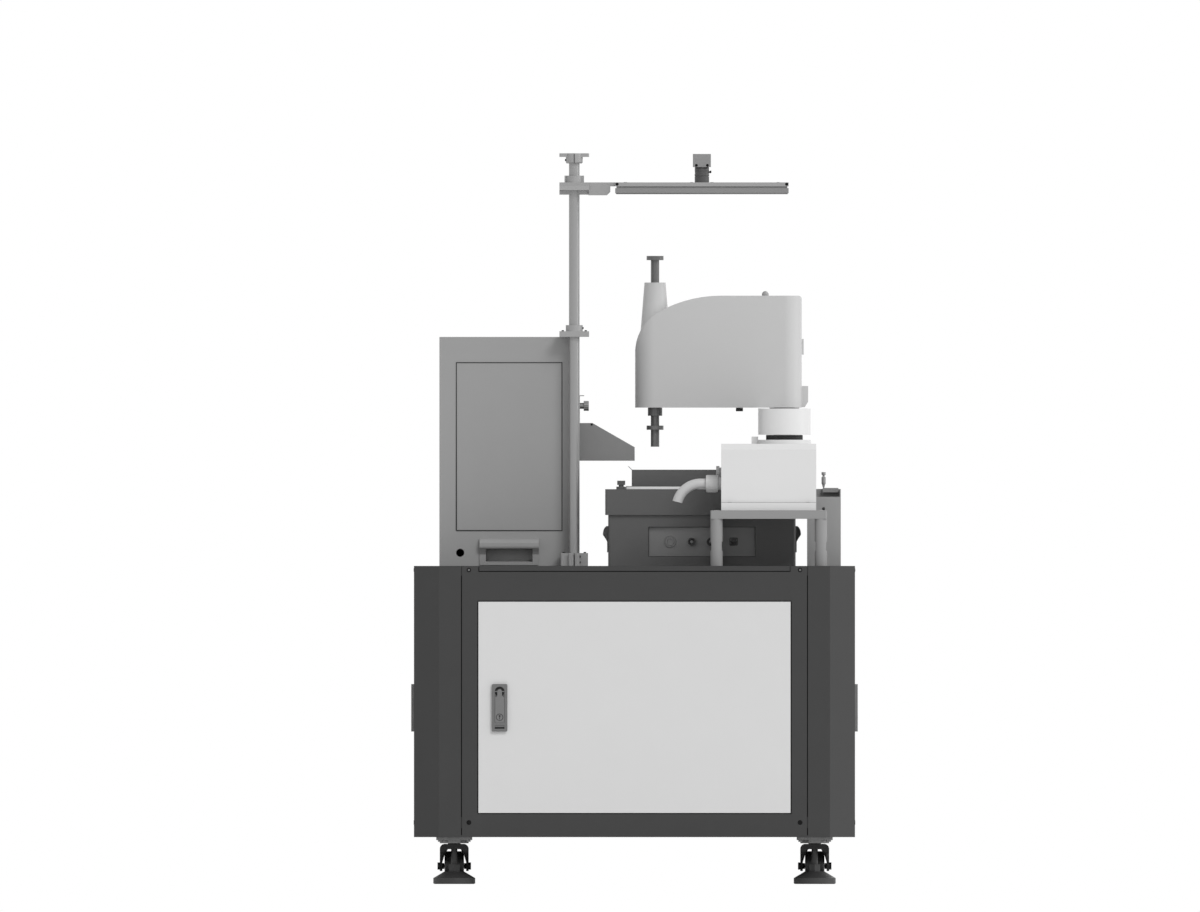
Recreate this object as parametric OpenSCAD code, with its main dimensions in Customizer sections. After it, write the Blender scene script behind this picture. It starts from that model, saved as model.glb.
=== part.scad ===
// Automatic key blank feeding and duplicating cell.
// Origin: on the floor, under the middle of the cabinet. +Z up, front of the cabinet towards -Y.

/* [Cabinet] */
// Width over the corner posts
cab_w = 1040; // [1000:5:1300]
// Depth over the corner posts
cab_d = 900; // [880:5:1200]
// Height of the cabinet body
cab_h = 639.5; // [600:0.5:800]
// Thickness of the cabinet's steel sheet
sheet = 2; // [1.5:0.1:3]
// Width of each flat face of a corner post
post_face = 52; // [40:1:70]
// Width of the corner chamfer along each side of a post
post_chamfer = 59; // [40:1:70]
// Inward depth of a corner post at its side
post_in = 40; // [30:1:50]
// Wall of the corner posts
post_wall = 3; // [2:0.5:4]
// Thickness of the cabinet floor plate
floor_t = 4; // [3:0.5:8]
// Height of the square rails
rail_h = 28; // [20:1:34]
// Depth of the square rails
rail_d = 30; // [20:1:40]
// Wall of the square rails
rail_wall = 2.5; // [2:0.5:4]
// Thickness of the tabletop plate
table_t = 12; // [10:1:16]
// Depth of the folded edges of the fascias, and of the gap in front of the rails
fold = 20; // [19:1:24]
// Gap between the fascias and their neighbours
fascia_gap = 2.2; // [1:0.1:3]
// Diameter of the cable holes in the tabletop
cable_hole = 50; // [30:1:60]

// Width, depth and height of the robot controller's case
controller = [270, 380, 320]; // [80:1:420]
// Width, depth and height of the vision computer's case
computer = [190, 300, 210]; // [80:1:420]
// Width, depth and height of the power supply's case
supply = [120, 230, 120]; // [80:1:420]
// Space between the cases in the cabinet
unit_space = 65; // [20:1:80]

/* [Doors] */
// Height of the doors
door_h = 498; // [400:1:520]
// Distance from a door's edge to the edge of its fascia
door_margin = 41; // [38:1:60]
// Distance from the cabinet's underside to a door's lower edge
door_up = 57; // [50:0.5:70]
// Thickness of a door pan
door_t = 18; // [15:0.5:18]
// Sheet of a door pan
door_sheet = 1.5; // [1:0.1:2]
// Gap around a door
door_gap = 2.4; // [2:0.1:4]
// Diameter of the door's hinge pins
pin_d = 6; // [5:0.5:8]
// Distance of the hinge pin from the door's edge
pin_in = 20; // [16:1:24]
// Distance of the hinge pin behind the door's face
pin_back = 7; // [6:0.5:8]
// Radial clearance of pins and shafts that turn or slide in a bore
run_gap = 0.08; // [0.04:0.01:0.1]

/* [Lock] */
// Distance of the lock's centre line from the door's edge
lock_in = 50; // [40:1:80]
// Height of the lock's centre above the door's lower edge
lock_up = 248; // [150:1:300]
// Width of the lock housing
lock_w = 36.5; // [34:0.5:45]
// Height of the lock housing
lock_h = 112; // [105:1:130]
// Height of the lock housing over the door's face
lock_t = 6.5; // [6:0.1:10]
// Width of the recess in the lock housing
lock_recess = 23; // [20:0.5:25]
// Distance of the lever's pivot and the spindle above the lock's centre
lock_pivot_up = 38.4; // [35:0.1:45]
// Width of the lever
lever_w = 21.6; // [18:0.1:22]
// Width of the lever's neck
lever_neck = 11; // [8:0.5:13]
// Thickness of the lever
lever_t = 4.4; // [4:0.1:6]
// Diameter of the lever's pivot pin
lever_pin = 3; // [2:0.1:3]
// Diameter of the key cylinder in the lever
key_d = 17; // [14:0.5:18]
// Length of the cam from the spindle's axis to its end
cam_l = 66; // [63:1:75]
// Width of the cam
cam_w = 16; // [12:1:20]
// Thickness of the cam
cam_t = 3; // [2:0.5:4]

/* [Casters] */
// Height of the cabinet's underside above the floor
cab_lift = 110.5; // [110:0.5:115]
// Distance of a caster's axis from the cabinet's side
caster_in = 95; // [85:1:120]
// Width of a caster's top plate
caster_plate_w = 85; // [80:1:95]
// Thickness of a caster's top plate
caster_plate_t = 7; // [5:0.5:8]
// Width over flats of the octagonal swivel housing
swivel_w = 68; // [60:1:72]
// Height of the swivel housing
swivel_h = 7.5; // [7:0.5:10]
// Gap between the swivel housing and the fork
swivel_gap = 1.3; // [0.5:0.1:3]
// Diameter of the fork's kingpin
kingpin_d = 30; // [26:1:36]
// Width of the fork
fork_w = 68; // [64:1:72]
// Thickness of the fork's arms
fork_arm = 6; // [4:0.5:7]
// Thickness of the fork's bridge
fork_bridge = 12.7; // [10:0.1:14]
// Radius of the fork's outer shoulders
fork_r = 12; // [6:1:14]
// Distance of the wheel's axle behind the swivel axis
trail = 82; // [82:1:88]
// Height of the wheel's axle above the floor
axle_z = 42.4; // [41:0.1:46]
// Diameter of the wheel
wheel_d = 70; // [64:1:70]
// Width of the wheel
wheel_w = 46; // [30:1:46]
// Diameter of the axle
axle_d = 8; // [6:1:12]
// Width over the axle's two heads
axle_heads_w = 79; // [76:1:86]
// Diameter of the levelling foot
foot_d = 99; // [85:1:99]
// Height of the levelling foot's straight rim
foot_rim = 14; // [8:1:14]
// Height of the top of the foot's cone
foot_cone_z = 29.5; // [24:0.5:30]
// Diameter of the foot's cone at its top
foot_top_d = 47; // [36:1:50]
// Diameter of the levelling screw
screw_d = 15; // [12:1:20]
// Width over flats of the nut on the levelling screw
nut_w = 26; // [22:1:30]

/* [Robot stand] */
// Distance from the cabinet's middle to the robot's first axis, to the right
robot_x = 353.5; // [350:0.5:357]
// Distance from the cabinet's middle to the robot's first axis, to the front
robot_y = 290; // [286:1:296]
// Width of the stand's plate
stand_w = 275; // [260:1:285]
// Depth of the stand's plate
stand_d = 230; // [215:1:232]
// Thickness of the stand's plate
stand_t = 20; // [16:1:24]
// Height of the stand's plate over the tabletop
stand_h = 131; // [125:1:140]
// Diameter of the stand's posts
stand_post_d = 29; // [25:1:32]
// Width over the wrench flats of the stand's posts
stand_flat_w = 25; // [20:1:28]

/* [Robot] */
// Length of the robot's base
base_l = 224; // [210:1:235]
// Depth of the robot's base
base_d = 176; // [160:1:180]
// Height of the robot's base
base_h = 157; // [150:1:170]
// Distance from the first axis to the base's right end
base_front = 75; // [72:1:85]
// Bevel along the base's upper front and rear edges
base_bevel = 14; // [5:1:25]
// Height of the foot flange of the base
base_foot_h = 18; // [12:1:24]
// Distance that the foot flange stands out
base_foot_out = 12; // [8:1:18]
// Height of the round flange on the base
base_ring_h = 9.5; // [6:0.5:10]
// Diameter of the round flange on the base
base_ring_d = 126; // [110:1:130]
// Height of the bearing collar on the round flange
base_collar_h = 11.5; // [10:0.5:15]
// Diameter of the bearing collar
base_collar_d = 85; // [75:1:95]
// Length of arm 1 between its axes
arm1_l = 350; // [345:1:352]
// Width of arm 1
arm1_w = 124; // [110:1:124]
// Thickness of arm 1
arm1_t = 62; // [55:1:70]
// Length of arm 2 between its axes
arm2_l = 305; // [300:1:310]
// Height of the cover of arm 2
arm2_h = 264; // [250:1:280]
// Depth of arm 2 at its elbow
arm2_d = 130; // [110:1:140]
// Corner radius of the second arm's rear end
arm2_corner = 38; // [15:1:45]
// Distance from the elbow axis to the back of arm 2
arm2_back = 41; // [40:1:55]
// Radius of the tip of arm 2
tip_r = 47; // [40:1:48]
// Wall of the cover of arm 2
cover_wall = 3; // [2:0.5:5]
// Radius of the long curve at the front of the cover
cover_r_top = 300; // [260:5:330]
// Radius of the short curve at the front of the cover
cover_r_nose = 110; // [90:5:130]
// Distance from the cover's tip to the start of its flat top
cover_flat_x = 202; // [190:1:210]
// Height of the quill tower over the cover's top
tower_over = 31; // [20:1:40]
// Radius of the quill tower at its top
tower_r_top = 25; // [23:0.5:30]
// Radius of the quill tower above its flare
tower_r_low = 36; // [32:0.5:40]
// Height of the tower's flare over the underside of arm 2
tower_flare_z = 138; // [120:1:150]
// Diameter of the quill shaft
quill_d = 20; // [16:1:20]
// Length of the quill shaft
quill_l = 450; // [440:1:480]
// Height of the quill's lower end over the tabletop
quill_up = 281; // [280:1:290]
// Outer diameter of the collars on the quill
collar_d = 40; // [34:1:44]
// Thickness of the collars on the quill
collar_t = 10; // [8:1:12]
// Distance of the lower collar from the quill's lower end
collar_up = 40; // [36:1:42]
// Diameter of the spline nut
nut_d = 34; // [30:1:40]
// Length of the spline nut below arm 2
nut_h = 19; // [16:1:20]
// Diameter of the round bearing seats in the arms and the nut
spigot_d = 50; // [40:1:56]
// Depth of the bearing seats
spigot_h = 14; // [8:1:20]
// Distance from the elbow axis to the stop block under arm 2
stop2_x = 106; // [100:1:110]
// Diameter of the brake release button
button_d = 16; // [12:1:20]
// Height of the brake release button
button_h = 11; // [8:0.5:14]
// Travel of the brake release button
button_travel = 2.5; // [1.5:0.5:3]
// Diameter of the cable elbow's tube
elbow_d = 24; // [20:1:28]
// Bend radius of the cable elbow
elbow_r = 57; // [50:1:65]
// Angle that the cable elbow turns through
elbow_angle = 76; // [60:1:90]
// Wall of the cable elbow
elbow_wall = 2.5; // [1.5:0.5:4]
// Diameter of the cable glands
gland_d = 40; // [34:1:46]

/* [Feeder] */
// Distance of the feeder's middle to the right of the cabinet's middle
feeder_x = 159; // [157:1:161]
// Distance of the feeder's middle behind the cabinet's middle
feeder_y = 65; // [65:1:75]
// Width of the feeder's housing
feeder_w = 442; // [430:1:446]
// Depth of the feeder's housing
feeder_d = 436; // [420:1:440]
// Height of the feeder's housing
feeder_h = 120; // [110:1:130]
// Distance that the skirt stands out over the housing
skirt_out = 7; // [4:1:8]
// Height of the feeder's skirt
skirt_h = 61; // [50:1:66]
// Thickness of the light plate
light_plate_t = 6; // [5:0.5:8]
// Width of the light plate
light_plate_w = 357; // [340:1:358]
// Width of the tray over its walls
tray_w = 331; // [320:1:336]
// Height of the tray's walls
tray_h = 40; // [35:1:44]
// Wall of the tray
tray_wall = 2; // [1.5:0.5:4]
// Width and height of the tray's flared lip
tray_lip = 9; // [6:1:10]
// Diameter of the guide posts under the light plate
guide_d = 20; // [14:1:26]
// Distance of the guide posts from the tray's middle
guide_in = 110; // [80:1:130]
// Travel of the tray
tray_travel = 3; // [1:0.5:4]
// Diameter of the thumb nuts
thumb_d = 19; // [16:1:22]
// Width of the connector panel's recess
socket_w = 252; // [230:1:270]
// Height of the connector panel's recess
socket_h = 70; // [60:1:76]
// Depth of the connector panel's recess
socket_depth = 12; // [8:1:20]

/* [Hopper] */
// Width of the hopper box
hopper_w = 329; // [310:1:332]
// Depth of the hopper box
hopper_d = 390; // [370:1:400]
// Height of the hopper box
hopper_h = 540; // [520:1:560]
// Distance between the hopper box and the feeder's skirt
hopper_gap = 62; // [60:1:66]
// Distance of the hopper's middle behind the cabinet's middle
hopper_y = 130; // [128:1:135]
// Sheet of the hopper box
hopper_wall = 2.5; // [2:0.5:4]
// Width of the hopper's front panel
panel_w = 248; // [220:1:255]
// Height of the hopper's front panel
panel_h = 395; // [350:1:400]
// Height of the panel's lower edge over the tabletop
panel_up = 84; // [80:1:95]
// Width of the feed trough
trough_w = 114; // [90:1:120]
// Height of the feed trough's underside over the tabletop
trough_up = 248; // [247:1:255]
// Height of the chute's walls at the hopper
chute_h = 89; // [75:1:92]
// Height of the chute's walls at its mouth
chute_tip_h = 32; // [25:1:40]
// Sheet of the feed trough
trough_t = 2; // [1.5:0.5:3]
// Distance that the chute reaches over the tray
chute_over = 7; // [4:1:12]
// Travel of the feed trough to each side
trough_travel = 1; // [0.5:0.1:1.5]
// Height of the gate plate
gate_h = 65; // [55:1:75]
// Width of the gate plate
gate_w = 134; // [124:1:140]
// Travel of the gate plate
gate_travel = 30; // [20:1:32]
// Width of a cup handle
handle_w = 140; // [120:1:150]
// Height of a cup handle
handle_h = 62; // [56:1:64]
// Distance that a cup handle stands out
handle_out = 12.6; // [10:0.2:14]

/* [Vision] */
// Diameter of the mast
mast_d = 25; // [22:1:28]
// Height of the mast's top over the tabletop
mast_h = 973; // [960:1:1000]
// Wall of the mast's tube
mast_wall = 3; // [2:0.5:5]
// Distance of the mast from the hopper's right side
mast_in = 11; // [9:1:14]
// Distance of the mast in front of the hopper
mast_off = 32; // [30:1:38]
// Width of the clamps on the mast
clamp_w = 70; // [60:1:74]
// Depth of the clamps on the mast
clamp_d = 40; // [38:1:50]
// Height of the mast's base clamp
clamp_h = 30.4; // [20:0.2:36]
// Diameter of the clamps' hubs
hub_d = 40; // [36:1:46]
// Height of the camera arm's clamp block
arm_clamp_h = 29; // [24:1:32]
// Height of the underside of the light over the tabletop
light_up = 876.5; // [870:0.5:880]
// Width of the flat light
light_w = 409; // [380:1:415]
// Thickness of the flat light's frame
light_t = 18.5; // [15:0.5:22]
// Thickness of the camera arm's plate
arm_plate_t = 9.4; // [8:0.2:12]
// Width of the camera's body
cam_body_w = 42.6; // [38:0.2:46]
// Height of the camera's body
cam_body_h = 31; // [26:1:34]
// Diameter of the lens
lens_d = 33; // [30:1:36]
// Length of the lens
lens_h = 36; // [30:1:38]

/* [Parts box] */
// Width of the parts box
bin_w = 79.5; // [70:0.5:82]
// Depth of the parts box
bin_d = 300; // [250:5:320]
// Height of the parts box
bin_h = 181.5; // [170:0.5:200]
// Wall of the parts box
bin_wall = 2.5; // [2:0.5:4]
// Distance between the feeder's skirt and the parts box
bin_gap = 20; // [16:1:24]
// Height of the low front wall under the rim
bin_notch = 18.5; // [12:0.5:30]
// Length of the pin over the parts box
pin_up = 42; // [36:1:50]
// Diameter of the pin's body
pin_body_d = 10; // [8:0.5:12]

/* [Hidden] */
$fn = 48;

eps = 0.01;
touch_gap = 0.3;
table_z = cab_lift + cab_h;

// Posts, rails and fascias
post_w = post_chamfer + post_face;
front_fascia_w = cab_w - 2 * post_w;
side_fascia_w = cab_d - 2 * post_w;
fascia_z0 = cab_lift + floor_t;
rail_y = sheet + fold;
notch_h = table_t + 2;
tongue_gap = 2;
screw_in = 18.5;
screw_hole_d = 5.4;
screw_top_z = table_z - 9.6;
screw_low_z = cab_lift + 34.5;
gusset_w = 36;
gusset_h = 26;
backing_w = 14;
backing_t = 3;

// Doors
door_z0 = cab_lift + door_up;
front_door_w = front_fascia_w - 2 * door_margin;
side_door_w = side_fascia_w - 2 * door_margin;
stop_lip = 8;
hinge_pin_in = 12;
hinge_pin_out = 8;
boss_d = 22;
boss_gap = 0.3;
boss_l = rail_y + 3;
spindle_d = 8;
lever_axis_y = -lock_t + lever_t / 2;
lever_low = -34;

// Casters
caster_x = cab_w / 2 - caster_in;
caster_y = cab_d / 2 - caster_in;
swivel_top_z = cab_lift - caster_plate_t;
fork_top_z = swivel_top_z - swivel_h - swivel_gap;
fork_in_z = fork_top_z - fork_bridge;
kingpin_up = 7;

// Robot
stand_top_z = table_z + stand_h;
post_dx = stand_w / 2 - stand_post_d / 2;
post_dy = stand_d / 2 - stand_post_d / 2;
base_x0 = robot_x + base_front - base_l;
stand_x = robot_x + base_front - base_l / 2;
base_top_z = stand_top_z + base_h;
collar_top_z = base_top_z + base_ring_h + base_collar_h;
arm1_z = collar_top_z + touch_gap;
arm2_z = arm1_z + arm1_t + 2;
elbow_y = arm1_l - robot_y;
quill_x = robot_x - arm2_l;
quill_z0 = table_z + quill_up;
cover_top_z = arm2_z + arm2_h;
tower_top_z = cover_top_z + tower_over;
tip_x = quill_x - tip_r;
rear_x = robot_x + arm2_back;
casting_h = 30;
quill_bore = quill_d + 2;

// Feeder
feeder_top_z = table_z + feeder_h + skirt_h;
plate_top_z = feeder_top_z + light_plate_t;
skirt_w = feeder_w + 2 * skirt_out;
skirt_d = feeder_d + 2 * skirt_out;
thumb_base_d = 23;
thumb_at = light_plate_w / 2 + touch_gap + thumb_base_d / 2;
tray_left = feeder_x - tray_w / 2;
socket_z = table_z + feeder_h - socket_h / 2 - 28;
side_handle_z = table_z + feeder_h - 26 - handle_h;
guide_l = 40;
rocker_x = feeder_x + 75;
rocker_w = 12;
rocker_pin_d = 2;
rocker_y = feeder_y - feeder_d / 2 + socket_depth - 4;

// Hopper
hopper_x1 = feeder_x - skirt_w / 2 - hopper_gap;
hopper_x = hopper_x1 - hopper_w / 2;
hopper_y0 = hopper_y - hopper_d / 2;
trough_z = table_z + trough_up;
chute_tip_x = tray_left + chute_over;
trough_back_x = hopper_x - hopper_w / 2 + 60;
outlet_h = chute_h + 25;
gate_z = trough_z + chute_h + 0.4;
gate_screw_z = gate_z + 40;
handle_hood_h = 24.6;
window_top = handle_h - handle_hood_h;
handle_plate_t = 2.5;
handle_window_w = handle_w - 30;
handle_window_h = 24;
cup_depth = 28;
cup_wall = 1.5;

// Vision
mast_x = hopper_x1 - mast_in;
mast_y = hopper_y0 - mast_off;
light_z = table_z + light_up;
arm_plate_z = light_z + light_t;
arm_top_z = arm_plate_z + arm_plate_t;
light_hole_d = 70;
diffuser_t = 2.5;

// Parts box
bin_x0 = feeder_x + skirt_w / 2 + bin_gap;
bin_y0 = feeder_y - 145;

// ---------- general shapes ----------

// A block between two corners
module block(low, high) {
    translate(low) cube(high - low);
}

// A rectangle with true round corners, centred
module round_rect(w, d, r) {
    square([w - 2 * r, d], center = true);
    square([w, d - 2 * r], center = true);
    for (sx = [-1, 1], sy = [-1, 1])
        translate([sx * (w / 2 - r), sy * (d / 2 - r)]) circle(r);
}

// Two circles and a strip between them, a hair inside their common tangents
module link_2d(p, r, q, s) {
    inset = 0.02;
    span = norm(q - p);
    turn = atan2(q[1] - p[1], q[0] - p[0]);
    lean = acos((r - s) / span);
    left = [cos(turn + lean), sin(turn + lean)];
    right = [cos(turn - lean), sin(turn - lean)];
    translate(p) circle(r);
    translate(q) circle(s);
    polygon([p + (r - inset) * left, p + (r - inset) * right,
        q + (s - inset) * right, q + (s - inset) * left]);
}

// An outline in X and Z, given its reach along Y from y0 to y1
module along_y(y0, y1) {
    translate([0, y1, 0]) rotate([90, 0, 0]) linear_extrude(y1 - y0) children();
}

// An outline in Y and Z, given its reach along X from x0 to x1
module along_x(x0, x1) {
    translate([x0, 0, 0]) rotate([90, 0, 90]) linear_extrude(x1 - x0) children();
}

// A round bar or bore along Y
module bar_y(d, y0, y1) {
    translate([0, y1, 0]) rotate([90, 0, 0]) cylinder(d = d, h = y1 - y0);
}

// A round bar or bore along X
module bar_x(d, x0, x1) {
    translate([x0, 0, 0]) rotate([0, 90, 0]) cylinder(d = d, h = x1 - x0);
}

// The frame of one side of the cabinet: x along the side, -y outwards from its face
module on_front() {
    translate([0, -cab_d / 2, 0]) children();
}
module on_rear() {
    rotate([0, 0, 180]) translate([0, -cab_d / 2, 0]) children();
}
module on_left() {
    rotate([0, 0, -90]) translate([0, -cab_w / 2, 0]) children();
}
module on_right() {
    rotate([0, 0, 90]) translate([0, -cab_w / 2, 0]) children();
}

// ---------- cabinet ----------

// Outline of the front left corner post, its walls moved in by t
function post_points(t) =
    let (near = post_chamfer + t * (sqrt(2) - 1),
         far = post_w - t,
         inner = post_in - t * (sqrt(2) - 1))
    [[near, t], [far, t], [far, inner], [inner, far], [t, far], [t, near]];

module at_post_corners() {
    for (mx = [0, 1], my = [0, 1])
        mirror([mx, 0, 0]) mirror([0, my, 0])
            translate([-cab_w / 2, -cab_d / 2, 0]) children();
}

module post() {
    difference() {
        translate([0, 0, fascia_z0 - eps]) linear_extrude(table_z - fascia_z0 + eps)
            polygon(post_points(0));
        translate([0, 0, fascia_z0]) linear_extrude(table_z - fascia_z0 - post_wall)
            polygon(post_points(post_wall));
    }
}

// Rails and corner gussets behind one fascia of width w
module side_rails(w) {
    for (z = [fascia_z0, table_z - table_t - rail_h]) difference() {
        block([-w / 2 - eps, rail_y, z], [w / 2 + eps, rail_y + rail_d, z + rail_h]);
        block([-w / 2 + 1, rail_y + rail_wall, z + rail_wall],
            [w / 2 - 1, rail_y + rail_d - rail_wall, z + rail_h - rail_wall]);
    }
    for (sx = [-1, 1], z = [screw_low_z, screw_top_z]) mirror([sx < 0 ? 1 : 0, 0, 0])
        difference() {
            block([w / 2 - gusset_w, sheet, z - gusset_h / 2],
                [w / 2 + eps, rail_y + eps, min(z + gusset_h / 2, table_z - touch_gap)]);
            block([w / 2 - gusset_w - 1, rail_y - touch_gap, table_z - table_t - eps],
                [w / 2 + 1, rail_y + 1, table_z + 1]);
            translate([w / 2 - screw_in, 0, z]) bar_y(screw_hole_d, sheet - 1, sheet + 14);
        }
    for (m = [0, 1]) mirror([m, 0, 0])
        block([w / 2 - backing_w, rail_y, fascia_z0 + rail_h - eps],
            [w / 2 + eps, rail_y + backing_t, table_z - table_t - rail_h + eps]);
}

module cabinet_frame() {
    color("#484848") {
        translate([0, 0, cab_lift]) linear_extrude(floor_t) difference() {
            square([cab_w, cab_d], center = true);
            at_post_corners() polygon([[-1, -1], [post_chamfer + 1, -1], [post_chamfer, 0],
                [0, post_chamfer], [-1, post_chamfer + 1]]);
        }
        at_post_corners() post();
        on_front() side_rails(front_fascia_w);
        on_rear() side_rails(front_fascia_w);
        on_left() side_rails(side_fascia_w);
        on_right() side_rails(side_fascia_w);
    }
}

module tabletop() {
    tongue_w = front_door_w - 2 * tongue_gap;
    side_tongue_w = side_door_w - 2 * tongue_gap;
    color("#484848") translate([0, 0, table_z - table_t]) linear_extrude(table_t)
        difference() {
            union() {
                square([cab_w - 2 * rail_y, cab_d - 2 * rail_y], center = true);
                square([tongue_w, cab_d], center = true);
                square([cab_w, side_tongue_w], center = true);
            }
            at_post_corners() polygon(post_points(-0.5));
            at_post_corners() polygon([[-1, -1], [post_w, -1], [-1, post_w]]);
            for (x = [-cab_w / 4, cab_w / 4])
                translate([x, cab_d / 2 - 90]) circle(d = cable_hole);
        }
}

// Sheet, door opening and folded edges of a fascia of width w with a door of width dw
module fascia(w, dw) {
    open_w = dw + 2 * door_gap;
    z0 = door_z0 - door_gap;
    z1 = door_z0 + door_h + door_gap;
    difference() {
        union() {
            block([-w / 2 + fascia_gap, 0, fascia_z0], [w / 2 - fascia_gap, sheet, table_z]);
            block([-open_w / 2 - sheet, 0, z0 - sheet], [open_w / 2 + sheet, rail_y, z1 + sheet]);
        }
        block([-dw / 2, -1, table_z - notch_h], [dw / 2, sheet + 1, table_z + 1]);
        block([-open_w / 2, -1, z0], [open_w / 2, rail_y - sheet, z1]);
        block([-open_w / 2 + stop_lip, -1, z0 + stop_lip], [open_w / 2, rail_y + 1, z1 - stop_lip]);
        for (sx = [-1, 1], z = [screw_low_z, screw_top_z])
            translate([sx * (w / 2 - screw_in), 0, z]) bar_y(screw_hole_d, -1, sheet + 1);
        translate([dw / 2 - pin_in, pin_back, 0])
            translate([0, 0, z0 - hinge_pin_out]) cylinder(d = pin_d + 2 * run_gap, h = z1 - z0 + 2 * hinge_pin_out);
        block([dw / 2 - pin_in - 19, pin_back + pin_d, z0], [open_w / 2, rail_y + 1, z1]);
    }
}

module front_fascia() {
    color("#484848") on_front() fascia(front_fascia_w, front_door_w);
}

module side_fascias() {
    color("#484848") {
        on_left() fascia(side_fascia_w, side_door_w);
        on_right() fascia(side_fascia_w, side_door_w);
    }
}

// One pressed louvre, its slot and its hood
louvre_w = 150;
louvre_h = 10;
louvre_pitch = 24;
louvre_rows = 8;
louvre_z = cab_lift + 330;
louvre_out = lock_t;

module louvre_slot() {
    block([-louvre_w / 2, -1, 0], [louvre_w / 2, sheet + 1, louvre_h]);
}

module louvre_hood() {
    difference() {
        along_x(-louvre_w / 2 - sheet, louvre_w / 2 + sheet)
            polygon([[0, -1], [0, louvre_h + 4], [-louvre_out, 1], [-louvre_out, -1]]);
        along_x(-louvre_w / 2, louvre_w / 2)
            polygon([[1, -2], [1, louvre_h], [0, louvre_h + 1], [1.5 - louvre_out, 0],
                [1.5 - louvre_out, -2]]);
    }
}

module rear_panel() {
    inlet_z = cab_lift + 90;
    w = front_fascia_w;
    color("#484848") on_rear() {
        difference() {
            union() {
                block([-w / 2 + fascia_gap, 0, fascia_z0], [w / 2 - fascia_gap, sheet, table_z]);
                for (sx = [-1, 1], n = [0:louvre_rows - 1])
                    translate([sx * w / 4, 0, louvre_z + n * louvre_pitch]) louvre_hood();
            }
            for (sx = [-1, 1], n = [0:louvre_rows - 1])
                translate([sx * w / 4, 0, louvre_z + n * louvre_pitch]) louvre_slot();
            block([-front_door_w / 2, -1, table_z - notch_h], [front_door_w / 2, sheet + 1, table_z + 1]);
            for (sx = [-1, 1], z = [screw_low_z, screw_top_z])
                translate([sx * (w / 2 - screw_in), 0, z]) bar_y(screw_hole_d, -1, sheet + 1);
            block([-24, -1, inlet_z - 14], [24, sheet + 1, inlet_z + 14]);
        }
    }
    color("#202020") on_rear() difference() {
        union() {
            along_y(-3, 0) translate([0, inlet_z]) round_rect(60, 36, 4);
            block([-23.6, -eps, inlet_z - 13.6], [23.6, 22, inlet_z + 13.6]);
        }
        block([-12, -4, inlet_z - 8], [12, 18, inlet_z + 8]);
    }
}

module fascia_screw() {
    bar_y(10, -2.5, 0);
    bar_y(screw_hole_d - 0.4, -eps, sheet + 12);
}

module side_screws(w) {
    for (sx = [-1, 1], z = [screw_low_z, screw_top_z])
        translate([sx * (w / 2 - screw_in), 0, z]) fascia_screw();
}

module fascia_screws() {
    color("#202020") {
        on_front() side_screws(front_fascia_w);
        on_rear() side_screws(front_fascia_w);
        on_left() side_screws(side_fascia_w);
        on_right() side_screws(side_fascia_w);
    }
}

// Robot controller, vision computer and power supply on the cabinet's floor
module control_units() {
    color("#5a5a5a") translate([0, 0, fascia_z0]) {
        translate([-cab_w / 4, 40, 0]) unit_case(controller);
        translate([controller[0] / 2 - cab_w / 4 + unit_space + computer[0] / 2, 60, 0]) unit_case(computer);
        translate([controller[0] / 2 - cab_w / 4 + 2 * unit_space + computer[0] + supply[0] / 2, 90, 0])
            unit_case(supply);
    }
}

// A case of width, depth and height size, open underneath
module unit_case(size) {
    wall = 2;
    difference() {
        linear_extrude(size[2]) round_rect(size[0], size[1], 5);
        translate([0, 0, -1]) linear_extrude(size[2] + 1 - wall)
            round_rect(size[0] - 2 * wall, size[1] - 2 * wall, 3);
    }
}

// ---------- casters ----------

module at_casters() {
    for (sx = [-1, 1], sy = [-1, 1])
        translate([sx * caster_x, sy * caster_y, 0]) children();
}

// One caster, its wheel trailing towards the middle of the cabinet
module at_caster(sx, sy) {
    translate([sx * caster_x, sy * caster_y, 0]) rotate([0, 0, sy < 0 ? 0 : 180]) children();
}

module caster_mounts() {
    bolt_at = caster_plate_w / 2 - 10;
    color("#b0b0b0") at_casters() difference() {
        union() {
            translate([0, 0, swivel_top_z]) linear_extrude(caster_plate_t)
                round_rect(caster_plate_w, caster_plate_w, 6);
            translate([0, 0, swivel_top_z - swivel_h]) rotate([0, 0, 22.5])
                cylinder(d = swivel_w / cos(22.5), h = swivel_h + eps, $fn = 8);
            for (sx = [-1, 1], sy = [-1, 1])
                translate([sx * bolt_at, sy * bolt_at, swivel_top_z - 4])
                    cylinder(d = 12, h = 4 + eps, $fn = 6);
        }
        translate([0, 0, swivel_top_z - swivel_h - 1])
            cylinder(d = kingpin_d + 2 * run_gap, h = kingpin_up + swivel_gap + 1.5);
    }
}

// Front outline of the fork: shoulders outside, a chamfered gap for the wheel inside
module fork_front_2d() {
    half = fork_w / 2;
    gap = half - fork_arm;
    difference() {
        union() {
            translate([-half, 0]) square([fork_w, fork_top_z - fork_r]);
            translate([-half + fork_r, 0]) square([fork_w - 2 * fork_r, fork_top_z]);
            for (sx = [-1, 1])
                translate([sx * (half - fork_r), fork_top_z - fork_r]) circle(fork_r);
        }
        polygon([[-gap, -1], [-gap, fork_in_z - 12], [-gap + 10, fork_in_z], [gap - 10, fork_in_z],
            [gap, fork_in_z - 12], [gap, -1]]);
    }
}

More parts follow.
